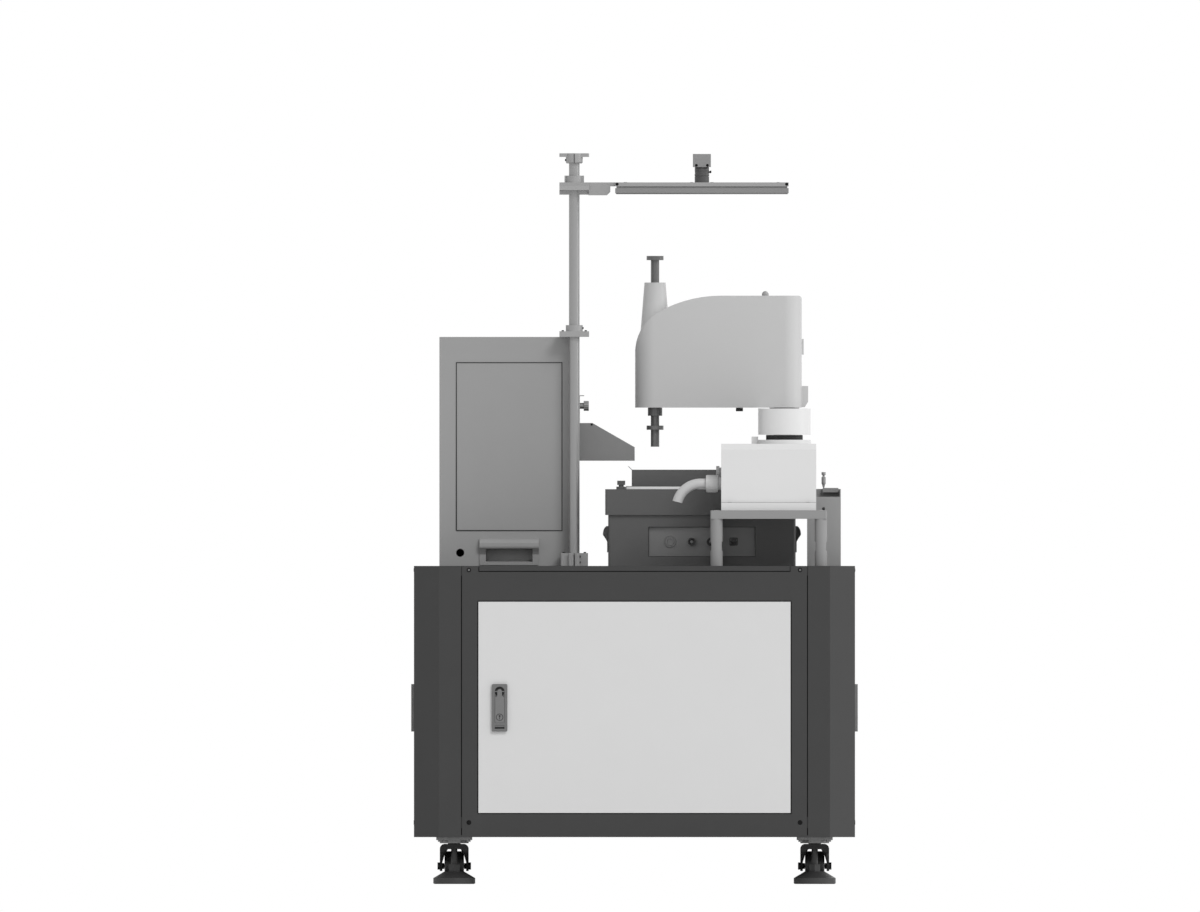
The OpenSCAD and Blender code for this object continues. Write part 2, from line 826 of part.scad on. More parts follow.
// Gussets in front of the wheel, from the fork's arms up to its bridge
module fork_gussets_2d() {
    gap = fork_w / 2 - fork_arm;
    for (m = [0, 1]) mirror([m, 0])
        polygon([[gap + 1, fork_in_z - 31], [gap, fork_in_z - 31], [gap - 5, fork_in_z - 14],
            [gap - 9, fork_in_z - 7], [gap - 13, fork_in_z], [gap - 13, fork_in_z + 1], [gap + 1, fork_in_z + 1]]);
}

// Side outline of the fork, running back and down to the axle
module fork_side_2d() {
    boss_r = 12;
    low_z = fork_in_z - 6;
    translate([-25, low_z + 6]) square([75, fork_top_z - low_z - 6]);
    link_2d([-13, low_z + 6], 12, [40, low_z], 18);
    link_2d([24, low_z], 14, [trail, axle_z], boss_r);
    link_2d([46, fork_top_z - 10], 10, [trail, axle_z], boss_r);
}

module caster_fork() {
    half = fork_w / 2;
    web_y = trail - wheel_d / 2 - 7;
    difference() {
        union() {
            intersection() {
                union() {
                    along_y(-30, trail + 20) fork_front_2d();
                    along_y(web_y - 18, web_y) fork_gussets_2d();
                }
                along_x(-half, half) fork_side_2d();
            }
            translate([0, 0, fork_top_z - 1]) cylinder(d = kingpin_d, h = kingpin_up + swivel_gap + 1);
            translate([0, trail, axle_z]) {
                bar_x(axle_d, -axle_heads_w / 2, axle_heads_w / 2);
                for (sx = [-1, 1]) {
                    translate([sx * (wheel_w / 2 + touch_gap), 0, 0]) mirror([sx < 0 ? 1 : 0, 0, 0])
                        bar_x(axle_d + 6, 0, half - fork_arm - wheel_w / 2 - touch_gap + eps);
                    translate([sx * (half - eps), 0, 0]) mirror([sx < 0 ? 1 : 0, 0, 0])
                        bar_x(17, 0, axle_heads_w / 2 - half);
                }
            }
        }
        translate([0, 0, fork_in_z - 20]) cylinder(d = screw_d + 2 * run_gap, h = 60);
    }
}

module caster_wheel() {
    hub_r = 12;
    rim_r = wheel_d / 2 - 8;
    recess = 7;
    half = wheel_w / 2;
    edge = 4;
    translate([0, trail, axle_z]) rotate([0, 90, 0]) rotate_extrude() difference() {
        translate([axle_d / 2 + run_gap, -half])
            square([wheel_d / 2 - axle_d / 2 - run_gap, wheel_w]);
        for (m = [0, 1]) mirror([0, m]) {
            translate([hub_r, half - recess]) square([rim_r - hub_r, recess + 1]);
            translate([wheel_d / 2 - edge, half - edge]) difference() {
                square(edge + 1);
                circle(edge);
            }
        }
    }
}

module levelling_foot() {
    nut_z0 = foot_cone_z - eps;
    nut_h = 17;
    rotate_extrude() polygon([[0, 0], [foot_d / 2 - 3.5, 0], [foot_d / 2, 1.5], [foot_d / 2, foot_rim],
        [foot_top_d / 2, foot_cone_z], [0, foot_cone_z]]);
    translate([0, 0, nut_z0]) rotate([0, 0, 30]) cylinder(d = nut_w / cos(30), h = nut_h, $fn = 6);
    translate([0, 0, nut_z0]) cylinder(d = screw_d, h = fork_top_z - 4 - nut_z0);
}

module caster_fork_fl() { color("#2a2a2a") at_caster(-1, -1) caster_fork(); }
module caster_fork_fr() { color("#2a2a2a") at_caster(1, -1) caster_fork(); }
module caster_fork_rl() { color("#2a2a2a") at_caster(-1, 1) caster_fork(); }
module caster_fork_rr() { color("#2a2a2a") at_caster(1, 1) caster_fork(); }
module caster_wheel_fl() { color("#383838") at_caster(-1, -1) caster_wheel(); }
module caster_wheel_fr() { color("#383838") at_caster(1, -1) caster_wheel(); }
module caster_wheel_rl() { color("#383838") at_caster(-1, 1) caster_wheel(); }
module caster_wheel_rr() { color("#383838") at_caster(1, 1) caster_wheel(); }
module levelling_foot_fl() { color("#3a3a3a") at_caster(-1, -1) levelling_foot(); }
module levelling_foot_fr() { color("#3a3a3a") at_caster(1, -1) levelling_foot(); }
module levelling_foot_rl() { color("#3a3a3a") at_caster(-1, 1) levelling_foot(); }
module levelling_foot_rr() { color("#3a3a3a") at_caster(1, 1) levelling_foot(); }

// ---------- doors and locks ----------

// The lock's centre on a door of width dw
module at_lock(dw) {
    translate([-dw / 2 + lock_in, 0, door_z0 + lock_up]) children();
}

// A folded door pan with its two hinge pins
module door(dw) {
    difference() {
        block([-dw / 2, 0, door_z0], [dw / 2, door_t, door_z0 + door_h]);
        block([-dw / 2 + door_sheet, door_sheet, door_z0 + door_sheet],
            [dw / 2 - door_sheet, door_t + 1, door_z0 + door_h - door_sheet]);
        at_lock(dw) translate([0, 0, lock_pivot_up]) bar_y(boss_d + 2 * boss_gap, -1, door_sheet + 1);
    }
    translate([dw / 2 - pin_in, pin_back, 0]) {
        translate([0, 0, door_z0 - hinge_pin_out]) cylinder(d = pin_d, h = hinge_pin_in + hinge_pin_out);
        translate([0, 0, door_z0 + door_h - hinge_pin_in])
            cylinder(d = pin_d, h = hinge_pin_in + hinge_pin_out);
    }
}

// Housing with a recess for the lever, a round pocket at the pivot and a boss through the door
module lock_housing() {
    recess_low = -49.5;
    slot_h = 4;
    difference() {
        union() {
            along_y(-lock_t, 0) round_rect(lock_w, lock_h, 3);
            translate([0, 0, lock_pivot_up]) bar_y(boss_d, -eps, boss_l);
        }
        along_y(-lock_t - 1, -lock_t + lever_t + touch_gap)
            translate([-lock_recess / 2, lever_low - touch_gap])
                square([lock_recess, lock_pivot_up - lever_low + touch_gap]);
        along_y(-lock_t - 1, -lock_t + 5) translate([-lock_recess / 2, recess_low])
            square([lock_recess, slot_h]);
        along_y(-lock_t - 1, -lock_t + 1) translate([-lock_recess / 2, recess_low + slot_h + 2])
            square([lock_recess, 2]);
        translate([0, 0, lock_pivot_up]) {
            bar_y(lock_recess, -lock_t - 1, -0.6);
            bar_y(lever_neck + 3, -lock_t - 1, 4);
            translate([0, lever_axis_y, 0])
                bar_x(lever_pin + 2 * run_gap, -lock_recess / 2 - 3.5, lock_recess / 2 + 3.5);
            bar_y(spindle_d + 2 * run_gap, 8, boss_l + 1);
        }
    }
}

// Lever with a narrow neck on its pivot pin, and the face of the key cylinder
module lever() {
    neck_low = 28;
    shoulder = 22;
    corner = 2;
    difference() {
        union() {
            along_y(-lock_t, -lock_t + lever_t) {
                translate([0, lock_pivot_up]) circle(d = lever_neck);
                translate([-lever_neck / 2, neck_low]) square([lever_neck, lock_pivot_up - neck_low]);
                polygon([[-lever_neck / 2, neck_low + 1], [lever_neck / 2, neck_low + 1],
                    [lever_w / 2, shoulder], [-lever_w / 2, shoulder]]);
                translate([0, (shoulder + lever_low) / 2 + corner])
                    round_rect(lever_w, shoulder - lever_low + 2 * corner, corner);
            }
            translate([0, lever_axis_y, lock_pivot_up])
                bar_x(lever_pin, -lock_recess / 2 - 3, lock_recess / 2 + 3);
        }
        translate([0, 0, -22.4]) {
            difference() {
                bar_y(key_d, -lock_t - 1, -lock_t + 0.8);
                bar_y(key_d - 2, -lock_t - 2, -lock_t + 2);
            }
            block([-0.8, -lock_t - 1, -5], [0.8, -lock_t + 3, 5]);
        }
    }
}

// Cam bar that hangs down from its spindle: turned a quarter it holds the door shut
module cam() {
    cam_y = boss_l + touch_gap;
    translate([0, 0, lock_pivot_up]) {
        bar_y(spindle_d, 10, cam_y + eps);
        along_y(cam_y, cam_y + cam_t) link_2d([0, 0], cam_w / 2, [0, -cam_l + cam_w / 2], cam_w / 2 - 1);
        bar_y(13, cam_y + cam_t - eps, cam_y + cam_t + 5);
    }
}

module door_front() { color("#d9d9d9") on_front() door(front_door_w); }
module door_left() { color("#d9d9d9") on_left() door(side_door_w); }
module door_right() { color("#d9d9d9") on_right() door(side_door_w); }
module lock_front() { color("#757575") on_front() at_lock(front_door_w) lock_housing(); }
module lock_left() { color("#757575") on_left() at_lock(side_door_w) lock_housing(); }
module lock_right() { color("#757575") on_right() at_lock(side_door_w) lock_housing(); }
module lever_front() { color("#858585") on_front() at_lock(front_door_w) lever(); }
module lever_left() { color("#858585") on_left() at_lock(side_door_w) lever(); }
module lever_right() { color("#858585") on_right() at_lock(side_door_w) lever(); }
module cam_front() { color("#a0a0a0") on_front() at_lock(front_door_w) cam(); }
module cam_left() { color("#a0a0a0") on_left() at_lock(side_door_w) cam(); }
module cam_right() { color("#a0a0a0") on_right() at_lock(side_door_w) cam(); }

// ---------- robot ----------

module robot_stand() {
    flat_z = table_z + 36;
    flat_h = 21;
    color("#8c8c8c") {
        translate([stand_x, -robot_y, stand_top_z - stand_t]) linear_extrude(stand_t)
            round_rect(stand_w, stand_d, 4);
        for (sx = [-1, 1], sy = [-1, 1])
            translate([stand_x + sx * post_dx, -robot_y + sy * post_dy, 0]) difference() {
                translate([0, 0, table_z]) cylinder(d = stand_post_d, h = stand_h - stand_t);
                for (m = [-1, 1])
                    translate([m * (stand_flat_w / 2 + 5), 0, flat_z + flat_h / 2])
                        cube([10, stand_post_d + 2, flat_h], center = true);
            }
    }
}

module robot_base() {
    half = base_d / 2;
    ring_z = base_top_z + base_ring_h;
    color("#d4d4d4") translate([0, -robot_y, 0]) {
        along_x(base_x0, base_x0 + base_l) {
            polygon([[-half, stand_top_z], [-half, base_top_z - base_bevel], [-half + base_bevel, base_top_z],
                [half - base_bevel, base_top_z], [half, base_top_z - base_bevel], [half, stand_top_z]]);
        }
        difference() {
            block([base_x0, -half - base_foot_out, stand_top_z],
                [base_x0 + base_l, half + base_foot_out, stand_top_z + base_foot_h]);
            for (sy = [-1, 1], x = [base_x0 + 20, base_x0 + base_l - 20])
                translate([x, sy * (half + base_foot_out / 2), stand_top_z - 1])
                    cylinder(d = 6.6, h = base_foot_h + 2);
        }
        translate([robot_x, 0, 0]) {
            translate([0, 0, base_top_z - 1]) cylinder(d = base_ring_d, h = base_ring_h + 1);
            translate([0, 0, ring_z - 1]) cylinder(d = base_collar_d, h = base_collar_h + 1);
            translate([0, 0, collar_top_z - 1]) cylinder(d = spigot_d, h = spigot_h + 1);
        }
        stop_x = robot_x - base_ring_d / 2 - 8;
        block([stop_x - 6.5, -10, base_top_z - 1], [stop_x + 9, 10, base_top_z + 17]);
    }
}

// Two glands on the base's left side, one with a bent conduit and one closed by a cap
module cable_elbow() {
    gland_y = -robot_y - 35;
    gland_z = stand_top_z + 63;
    nut_x = base_x0 - 8;
    nut_l = 28;
    tube_x = nut_x - nut_l;
    tube_straight = 12;
    cap_y = -robot_y + 30;
    cap_z = gland_z + 22;
    color("#c8c8c8") {
        translate([0, gland_y, gland_z]) {
            bar_x(gland_d - 10, nut_x - eps, base_x0);
            difference() {
                bar_x(gland_d, tube_x, nut_x);
                bar_x(elbow_d - 2 * elbow_wall, tube_x - 1, nut_x - 8);
            }
        }
        translate([0, gland_y, gland_z]) {
            difference() {
                bar_x(elbow_d, tube_x - tube_straight, tube_x);
                bar_x(elbow_d - 2 * elbow_wall, tube_x - tube_straight - 1, tube_x + 1);
            }
            translate([tube_x - tube_straight, 0, -elbow_r]) rotate([90, 0, 0]) rotate([0, 0, 90])
                rotate_extrude(angle = elbow_angle) translate([elbow_r, 0]) difference() {
                    circle(d = elbow_d);
                    circle(d = elbow_d - 2 * elbow_wall);
                }
        }
        translate([0, cap_y, cap_z]) {
            bar_x(gland_d - 8, base_x0 - 4, base_x0);
            bar_x(gland_d - 2, base_x0 - 12, base_x0 - 4 + eps);
        }
    }
}

module arm_1() {
    color("#d0d0d0") difference() {
        union() {
            translate([robot_x, -robot_y, arm1_z]) {
                linear_extrude(arm1_t) {
                    circle(d = arm1_w);
                    translate([0, arm1_l]) circle(d = arm1_w);
                    translate([-arm1_w / 2, 0]) square([arm1_w, arm1_l]);
                }
                translate([0, arm1_l, arm1_t - 1]) cylinder(d = 70, h = 2.7);
            }
        }
        translate([robot_x, -robot_y, arm1_z - 1])
            cylinder(d = spigot_d + 2 * run_gap, h = spigot_h + 1.5);
        translate([robot_x, -robot_y + arm1_l, arm1_z + arm1_t - spigot_h])
            cylinder(d = spigot_d + 2 * run_gap, h = spigot_h + 5);
    }
}

// Plan of arm 2, its sides moved in by t
module arm2_plan_2d(t) {
    corner = arm2_corner;
    quill = [quill_x, elbow_y];
    back = rear_x - corner;
    side = arm2_d / 2 - corner;
    far = [back, elbow_y + side];
    near = [back, elbow_y - side];
    link_2d(quill, tip_r - t, far, corner - t);
    link_2d(quill, tip_r - t, near, corner - t);
    link_2d(near, corner - t, far, corner - t);
    polygon([quill, near, far]);
}

// Side view of the main body of the cover, its top moved in by t
function arc_points(centre, r, from, to, steps) =
    [for (n = [0:steps]) let (a = from + (to - from) * n / steps) centre + r * [cos(a), sin(a)]];

module cover_side_2d(t) {
    flat_x = tip_x + cover_flat_x;
    top = [flat_x, cover_top_z - cover_r_top];
    lean = asin((cover_flat_x - cover_r_nose) / (cover_r_top - cover_r_nose));
    nose = top + (cover_r_top - cover_r_nose) * [-sin(lean), cos(lean)];
    back_r = 8;
    polygon(concat(
        [[tip_x + t, arm2_z]],
        arc_points(nose, cover_r_nose - t, 180, 90 + lean, 9),
        arc_points(top, cover_r_top - t, 90 + lean, 90, 7),
        arc_points([rear_x - back_r, cover_top_z - back_r], back_r - t, 90, 0, 4),
        [[rear_x - t, arm2_z]]));
}

module cover_body(t) {
    intersection() {
        translate([0, 0, arm2_z]) linear_extrude(arm2_h) arm2_plan_2d(t);
        along_y(elbow_y - arm2_d, elbow_y + arm2_d) cover_side_2d(t);
    }
}

// The round tower around the quill: a foot, a short flare and a long cone
module quill_tower(t) {
    flare_h = 20;
    cone_z = arm2_z + tower_flare_z + flare_h;
    translate([quill_x, elbow_y, 0]) {
        translate([0, 0, arm2_z]) cylinder(r = tip_r - t, h = tower_flare_z);
        translate([0, 0, arm2_z + tower_flare_z - eps])
            cylinder(r1 = tip_r - t, r2 = tower_r_low - t, h = flare_h + eps);
        translate([0, 0, cone_z - eps])
            cylinder(r1 = tower_r_low - t, r2 = tower_r_top - t, h = tower_top_z - t - cone_z + eps);
    }
}

module arm_2() {
    inset = cover_wall + 0.2;
    color("#c8c8c8") difference() {
        union() {
            translate([0, 0, arm2_z]) linear_extrude(casting_h) arm2_plan_2d(inset);
            translate([robot_x, elbow_y, arm2_z - spigot_h - 1]) cylinder(d = spigot_d, h = spigot_h + 2);
            translate([robot_x - stop2_x, elbow_y, arm2_z - 8.5 + 4.5])
                cube([16, 16, 9], center = true);
        }
        translate([quill_x, elbow_y, arm2_z - 1]) cylinder(d = quill_bore, h = casting_h + 2);
        translate([quill_x, elbow_y, arm2_z - 1])
            cylinder(d = nut_d - 4 + 2 * run_gap, h = spigot_h + 1);
    }
}

module arm_2_cover() {
    button_x = tip_x + 307;
    color("#dcdcdc") {
        difference() {
            union() {
                cover_body(0);
                quill_tower(0);
            }
            translate([0, 0, -eps]) difference() {
                union() {
                    cover_body(cover_wall);
                    quill_tower(cover_wall);
                }
                translate([button_x, elbow_y, cover_top_z - 14]) cylinder(d = button_d + 6, h = 14);
            }
            translate([quill_x, elbow_y, tower_top_z - cover_wall - 1]) cylinder(d = quill_bore, h = cover_wall + 2);
            translate([button_x, elbow_y, cover_top_z - 8]) cylinder(d = button_d + 2 * run_gap, h = 9);
        }
        flat = arm2_d / 2 - arm2_corner - 1;
        block([rear_x - 1, elbow_y - flat + 3, arm2_z + 125], [rear_x + 4.5, elbow_y + flat - 3, arm2_z + 162]);
        along_y(elbow_y - flat, elbow_y + flat)
            polygon([[rear_x - 1, arm2_z + 1], [rear_x + 7, arm2_z + 1], [rear_x + 15, arm2_z + 14],
                [rear_x + 15, arm2_z + 51], [rear_x - 1, arm2_z + 51]]);
    }
}

module release_button() {
    button_x = tip_x + 307;
    dome_r = button_d / 2;
    stem_z = cover_top_z - 8 + button_travel + 0.4;
    color("#b0b0b0") translate([button_x, elbow_y, 0]) {
        translate([0, 0, stem_z]) cylinder(d = button_d, h = cover_top_z + button_h - dome_r - stem_z);
        intersection() {
            translate([0, 0, cover_top_z + button_h - dome_r]) sphere(dome_r, $fn = 32);
            translate([0, 0, cover_top_z + button_h - dome_r - eps]) cylinder(d = button_d + 2, h = dome_r + 1);
        }
    }
}

module spline_nut() {
    nut_z = arm2_z - touch_gap - nut_h;
    color("#707070") translate([quill_x, elbow_y, 0]) difference() {
        union() {
            translate([0, 0, nut_z]) cylinder(d = nut_d, h = nut_h);
            translate([0, 0, nut_z + 1]) cylinder(d = nut_d - 4, h = nut_h + spigot_h - 2);
        }
        translate([0, 0, nut_z - 1]) cylinder(d = quill_d + 2 * run_gap, h = nut_h + spigot_h + 2);
    }
}

// A clamp ring with one slit
module quill_collar() {
    difference() {
        cylinder(d = collar_d, h = collar_t);
        translate([0, 0, -1]) cylinder(d = quill_d + 0.1, h = collar_t + 2);
        block([0, -0.75, -1], [collar_d, 0.75, collar_t + 1]);
    }
}

module quill_shaft() {
    groove_w = 4;
    groove_deep = 1.2;
    color("#8a8a8a") translate([quill_x, elbow_y, quill_z0]) {
        difference() {
            cylinder(d = quill_d, h = quill_l);
            for (a = [0:120:240])
                rotate([0, 0, a]) block([quill_d / 2 - groove_deep, -groove_w / 2, collar_up + collar_t],
                    [quill_d, groove_w / 2, quill_l - 10]);
        }
        translate([0, 0, collar_up]) quill_collar();
        translate([0, 0, quill_l - collar_t]) quill_collar();
    }
}

// ---------- feeder ----------

module feeder_housing() {
    shell = 3;
    lid = 6;
    boss_z = feeder_top_z - guide_l - 6;
    color("#4c4c4c") translate([feeder_x, feeder_y, 0]) difference() {
        union() {
            translate([0, 0, table_z]) linear_extrude(feeder_h) round_rect(feeder_w, feeder_d, 6);
            translate([0, 0, table_z + feeder_h]) linear_extrude(skirt_h)
                round_rect(skirt_w, skirt_d, 6);
        }
        difference() {
            translate([0, 0, table_z - 1]) linear_extrude(feeder_h + skirt_h + 1 - lid)
                round_rect(feeder_w - 2 * shell, feeder_d - 2 * shell, 4);
            block([-socket_w / 2 - shell, -feeder_d / 2, socket_z - socket_h / 2 - shell],
                [socket_w / 2 + shell, -feeder_d / 2 + socket_depth + shell, socket_z + socket_h / 2 + shell]);
            for (a = [45:90:315])
                rotate([0, 0, a]) translate([guide_in * sqrt(2), 0, boss_z])
                    cylinder(d = guide_d + 12, h = guide_l + 6);
        }
        for (a = [45:90:315])
            rotate([0, 0, a]) translate([guide_in * sqrt(2), 0, boss_z - 1])
                cylinder(d = guide_d + 2 * run_gap, h = guide_l + 8);
        block([-socket_w / 2, -feeder_d / 2 - 1, socket_z - socket_h / 2],
            [socket_w / 2, -feeder_d / 2 + socket_depth, socket_z + socket_h / 2]);
        for (m = [0, 1]) mirror([m, 0, 0])
            translate([-feeder_w / 2, 0, side_handle_z]) rotate([0, 0, -90]) cup_room();
    }
}

// The opening in a wall that a cup handle sits in, its plate on the wall's face at y = 0
module cup_room() {
    block([-handle_window_w / 2 - cup_wall - touch_gap, -1, 6 - cup_wall - touch_gap],
        [handle_window_w / 2 + cup_wall + touch_gap, cup_depth + touch_gap,
            window_top + 2 + cup_wall + touch_gap]);
}

// A cup handle: plate, cup behind it and a hood over the upper half of the window
module cup_handle() {
    window_z = 7;
    half = handle_window_w / 2;
    h = handle_h;
    o = handle_out;
    d = handle_hood_h;
    difference() {
        union() {
            along_y(-handle_plate_t, 0) translate([0, h / 2]) round_rect(handle_w, h, 3);
            block([-half - cup_wall, -eps, window_z - cup_wall], [half + cup_wall, cup_depth, window_top + cup_wall]);
            along_x(-handle_w / 2, handle_w / 2)
                polygon([[-eps, h], [-0.36 * o, h], [-0.67 * o, h - 0.16 * d], [-0.9 * o, h - 0.41 * d],
                    [-o, h - 0.73 * d], [-0.97 * o, h - 0.86 * d], [-0.7 * o, h - 1.06 * d],
                    [-0.44 * o, h - 1.26 * d], [-0.2 * o, h - 1.5 * d], [-eps, h - 1.5 * d]]);
        }
        along_x(-half, half)
            polygon([[-o - 1, window_z], [-handle_plate_t, window_z], [cup_depth - cup_wall, window_z + 4],
                [cup_depth - cup_wall, window_top], [-o - 1, window_top]]);
        along_x(-half, half)
            polygon([[0, window_top - 1], [2.5 - o, window_top - 1], [2.5 - o, h - 0.73 * d],
                [2.5 - 0.9 * o, h - 0.5 * d], [-handle_plate_t, h - 0.3 * d], [-handle_plate_t, window_top + 0.5],
                [0, window_top + 0.5]]);
    }
}

module carry_handles() {
    color("#7a7a7a") {
        for (m = [0, 1])
            translate([hopper_x, hopper_y, 0]) rotate([0, 0, m * 180])
                translate([0, -hopper_d / 2, table_z + 2]) cup_handle();
        translate([feeder_x, feeder_y, 0]) for (m = [-1, 1])
            rotate([0, 0, m * 90]) translate([0, -feeder_w / 2, side_handle_z]) cup_handle();
    }
}

module feeder_light_plate() {
    color("#f0f0f0") translate([feeder_x, feeder_y, 0]) {
        translate([0, 0, feeder_top_z]) linear_extrude(light_plate_t)
            round_rect(light_plate_w, light_plate_w, 3);
        for (a = [45:90:315])
            rotate([0, 0, a]) translate([guide_in * sqrt(2), 0, feeder_top_z - guide_l])
                cylinder(d = guide_d, h = guide_l + 1);
    }
}

module feeder_tray() {
    sheet_t = 1.2;
    inner = tray_w - 2 * tray_wall;
    lip_in = inner - 1;
    top_z = plate_top_z + tray_h;
    color("#484848") translate([feeder_x, feeder_y, 0]) {
        difference() {
            union() {
                translate([0, 0, plate_top_z]) linear_extrude(sheet_t)
                    square(light_plate_w, center = true);
                translate([0, 0, plate_top_z]) linear_extrude(tray_h) square(tray_w, center = true);
            }
            translate([0, 0, plate_top_z + sheet_t]) linear_extrude(tray_h) square(inner, center = true);
        }
        difference() {
            translate([0, 0, top_z - 1])
                linear_extrude(tray_lip, slices = 1, scale = [(tray_w + 2 * tray_lip) / tray_w, 1])
                    square([tray_w, tray_w], center = true);
            translate([0, 0, top_z - 1 - eps])
                linear_extrude(tray_lip + 2 * eps, slices = 1, scale = [(inner + 2 * tray_lip) / inner, 1])
                    square([inner, tray_w + 2], center = true);
        }
    }
}

module feeder_thumb_nuts() {
    base_h = light_plate_t;
    color("#606060") translate([feeder_x, feeder_y, feeder_top_z])
        for (sx = [-1, 1], sy = [-1, 1]) translate([sx * thumb_at, sy * thumb_at, 0]) {
            cylinder(d = thumb_base_d, h = base_h);
            cylinder(d = 12, h = base_h + 8);
            difference() {
                translate([0, 0, base_h + 4]) cylinder(d = thumb_d, h = 10);
                for (a = [0:30:330])
                    rotate([0, 0, a]) translate([thumb_d / 2 + 0.7, 0, base_h + 3]) cylinder(d = 3, h = 12);
            }
        }
}

module connector_panel() {
    face_y = feeder_y - feeder_d / 2 + socket_depth;
    plug_x = feeder_x - 75;
    first_x = feeder_x - 24;
    second_x = feeder_x + 20.5;
    frame_half = rocker_w / 2 + 3;
    color("#585858") translate([0, face_y, socket_z]) difference() {
        union() {
            block([feeder_x - socket_w / 2 + 1, -3, -socket_h / 2 + 1],
                [feeder_x + socket_w / 2 - 1, 0, socket_h / 2 - 1]);
            translate([plug_x, 0, 0]) bar_y(28, -4.5, -3 + eps);
            for (x = [first_x, second_x]) translate([x, 0, 0]) bar_y(21.6, -10, -3 + eps);
            block([rocker_x - frame_half, -5, -9], [rocker_x + frame_half, -3 + eps, 9]);
        }
        for (x = [first_x, second_x]) translate([x, 0, 0]) bar_y(13, -11, -4);
        block([rocker_x - rocker_w / 2 - touch_gap, -6, -7.5], [rocker_x + rocker_w / 2 + touch_gap, -1, 7.5]);
        translate([rocker_x, rocker_y - face_y, 0])
            bar_x(rocker_pin_d + 2 * run_gap, -rocker_w / 2 - 2, rocker_w / 2 + 2);
    }
}

// A rocker on a short axle, leaning to its off side
module rocker_switch() {
    color("#2c2c2c") translate([rocker_x, rocker_y, socket_z]) rotate([-7, 0, 0]) {
        along_x(-rocker_w / 2, rocker_w / 2)
            polygon([[-3.5, -6], [-2, 0], [-3.5, 6], [1.5, 5.2], [1.5, -5.2]]);
        bar_x(rocker_pin_d, -rocker_w / 2 - 1.7, rocker_w / 2 + 1.7);
    }
}

// ---------- hopper ----------

module hopper_shell() {
    wall = hopper_wall;
    half_w = hopper_w / 2;
    half_d = hopper_d / 2;
    panel_lip = 10;
    rim = 20;
    panel_z = table_z + panel_up;
    gap = 1;
    color("#949494") translate([hopper_x, hopper_y, 0]) {
        difference() {
            block([-half_w, -half_d, table_z], [half_w, half_d, table_z + hopper_h]);
            block([-half_w + wall, -half_d + wall, table_z + wall],
                [half_w - wall, half_d - wall, table_z + hopper_h - wall]);
            block([-half_w + rim, -half_d + rim, table_z + hopper_h - wall - 1],
                [half_w - rim, half_d - rim, table_z + hopper_h + 1]);
            block([-panel_w / 2 - gap, -half_d - 1, panel_z - gap],
                [panel_w / 2 + gap, -half_d + wall + 1, panel_z + panel_h + gap]);
            block([half_w - wall - 1, -trough_w / 2 - 2.5, trough_z - 3],
                [half_w + 1, trough_w / 2 + 2.5, trough_z + outlet_h]);
            for (y = [-gate_w / 2 + 20, gate_w / 2 - 20])
                block([half_w - wall - 1, y - 4.3, gate_screw_z - 4.3],
                    [half_w + 1, y + 4.3, gate_screw_z + 4.3 + gate_travel]);
            translate([-half_w + 49, -half_d - 1, table_z + 31]) rotate([-90, 0, 0]) cylinder(d = 19, h = wall + 2);
            for (m = [0, 1]) rotate([0, 0, m * 180]) translate([0, -half_d, table_z + 2]) cup_room();
        }
        difference() {
            block([-panel_w / 2 - panel_lip, -half_d + wall - eps, panel_z - panel_lip],
                [panel_w / 2 + panel_lip, -half_d + 2 * wall, panel_z + panel_h + panel_lip]);
            block([-panel_w / 2 + panel_lip, -half_d, panel_z + panel_lip],
                [panel_w / 2 - panel_lip, -half_d + 3 * wall, panel_z + panel_h - panel_lip]);
        }
        funnel();
    }
}

// Four sloping plates under the open top, down to the trough
module funnel() {
    top_z = table_z + hopper_h;
    low_z = trough_z + chute_h + 16;
    high = top_z - low_z;
    top_w = hopper_w - 2 * 20;
    top_d = hopper_d - 2 * 20;
    out_w = 90;
    shell = 2;
    difference() {
        translate([0, 0, top_z]) mirror([0, 0, 1])
            linear_extrude(high, slices = 1, scale = [out_w / top_w, out_w / top_d])
                square([top_w + 2 * shell, top_d + 2 * shell], center = true);
        translate([0, 0, top_z + eps]) mirror([0, 0, 1])
            linear_extrude(high + 2 * eps, slices = 1,
                scale = [(out_w - 2 * shell) / top_w, (out_w - 2 * shell) / top_d])
                square([top_w, top_d], center = true);
    }
}

module hopper_panel() {
    color("#8e8e8e") translate([hopper_x, hopper_y0, table_z + panel_up])
        block([-panel_w / 2, 0, 0], [panel_w / 2, hopper_wall - 2 * eps, panel_h]);
}

// Side view of the trough: low inside the hopper, tall and sloping at the chute
module trough_side_2d(t) {
    wall_x = hopper_x1 + 4;
    low_h = chute_h - 30;
    polygon([[trough_back_x + t, trough_z + t], [trough_back_x + t, trough_z + low_h],
        [wall_x - 40, trough_z + low_h], [wall_x - 10, trough_z + chute_h], [wall_x + 28, trough_z + chute_h],
        [chute_tip_x, trough_z + chute_tip_h], [chute_tip_x, trough_z + t]]);
}

module feed_trough() {
    half = trough_w / 2;
    color("#7a7a7a") difference() {
        along_y(hopper_y - half, hopper_y + half) trough_side_2d(0);
        translate([eps, 0, eps]) along_y(hopper_y - half + trough_t, hopper_y + half - trough_t)
            trough_side_2d(trough_t);
        block([trough_back_x + trough_t, hopper_y - half + trough_t, trough_z + chute_h - 31],
            [chute_tip_x + 1, hopper_y + half - trough_t, trough_z + chute_h + 1]);
        block([chute_tip_x - 1, hopper_y - half + trough_t, trough_z + trough_t],
            [chute_tip_x + 1, hopper_y + half - trough_t, trough_z + chute_h]);
    }
}

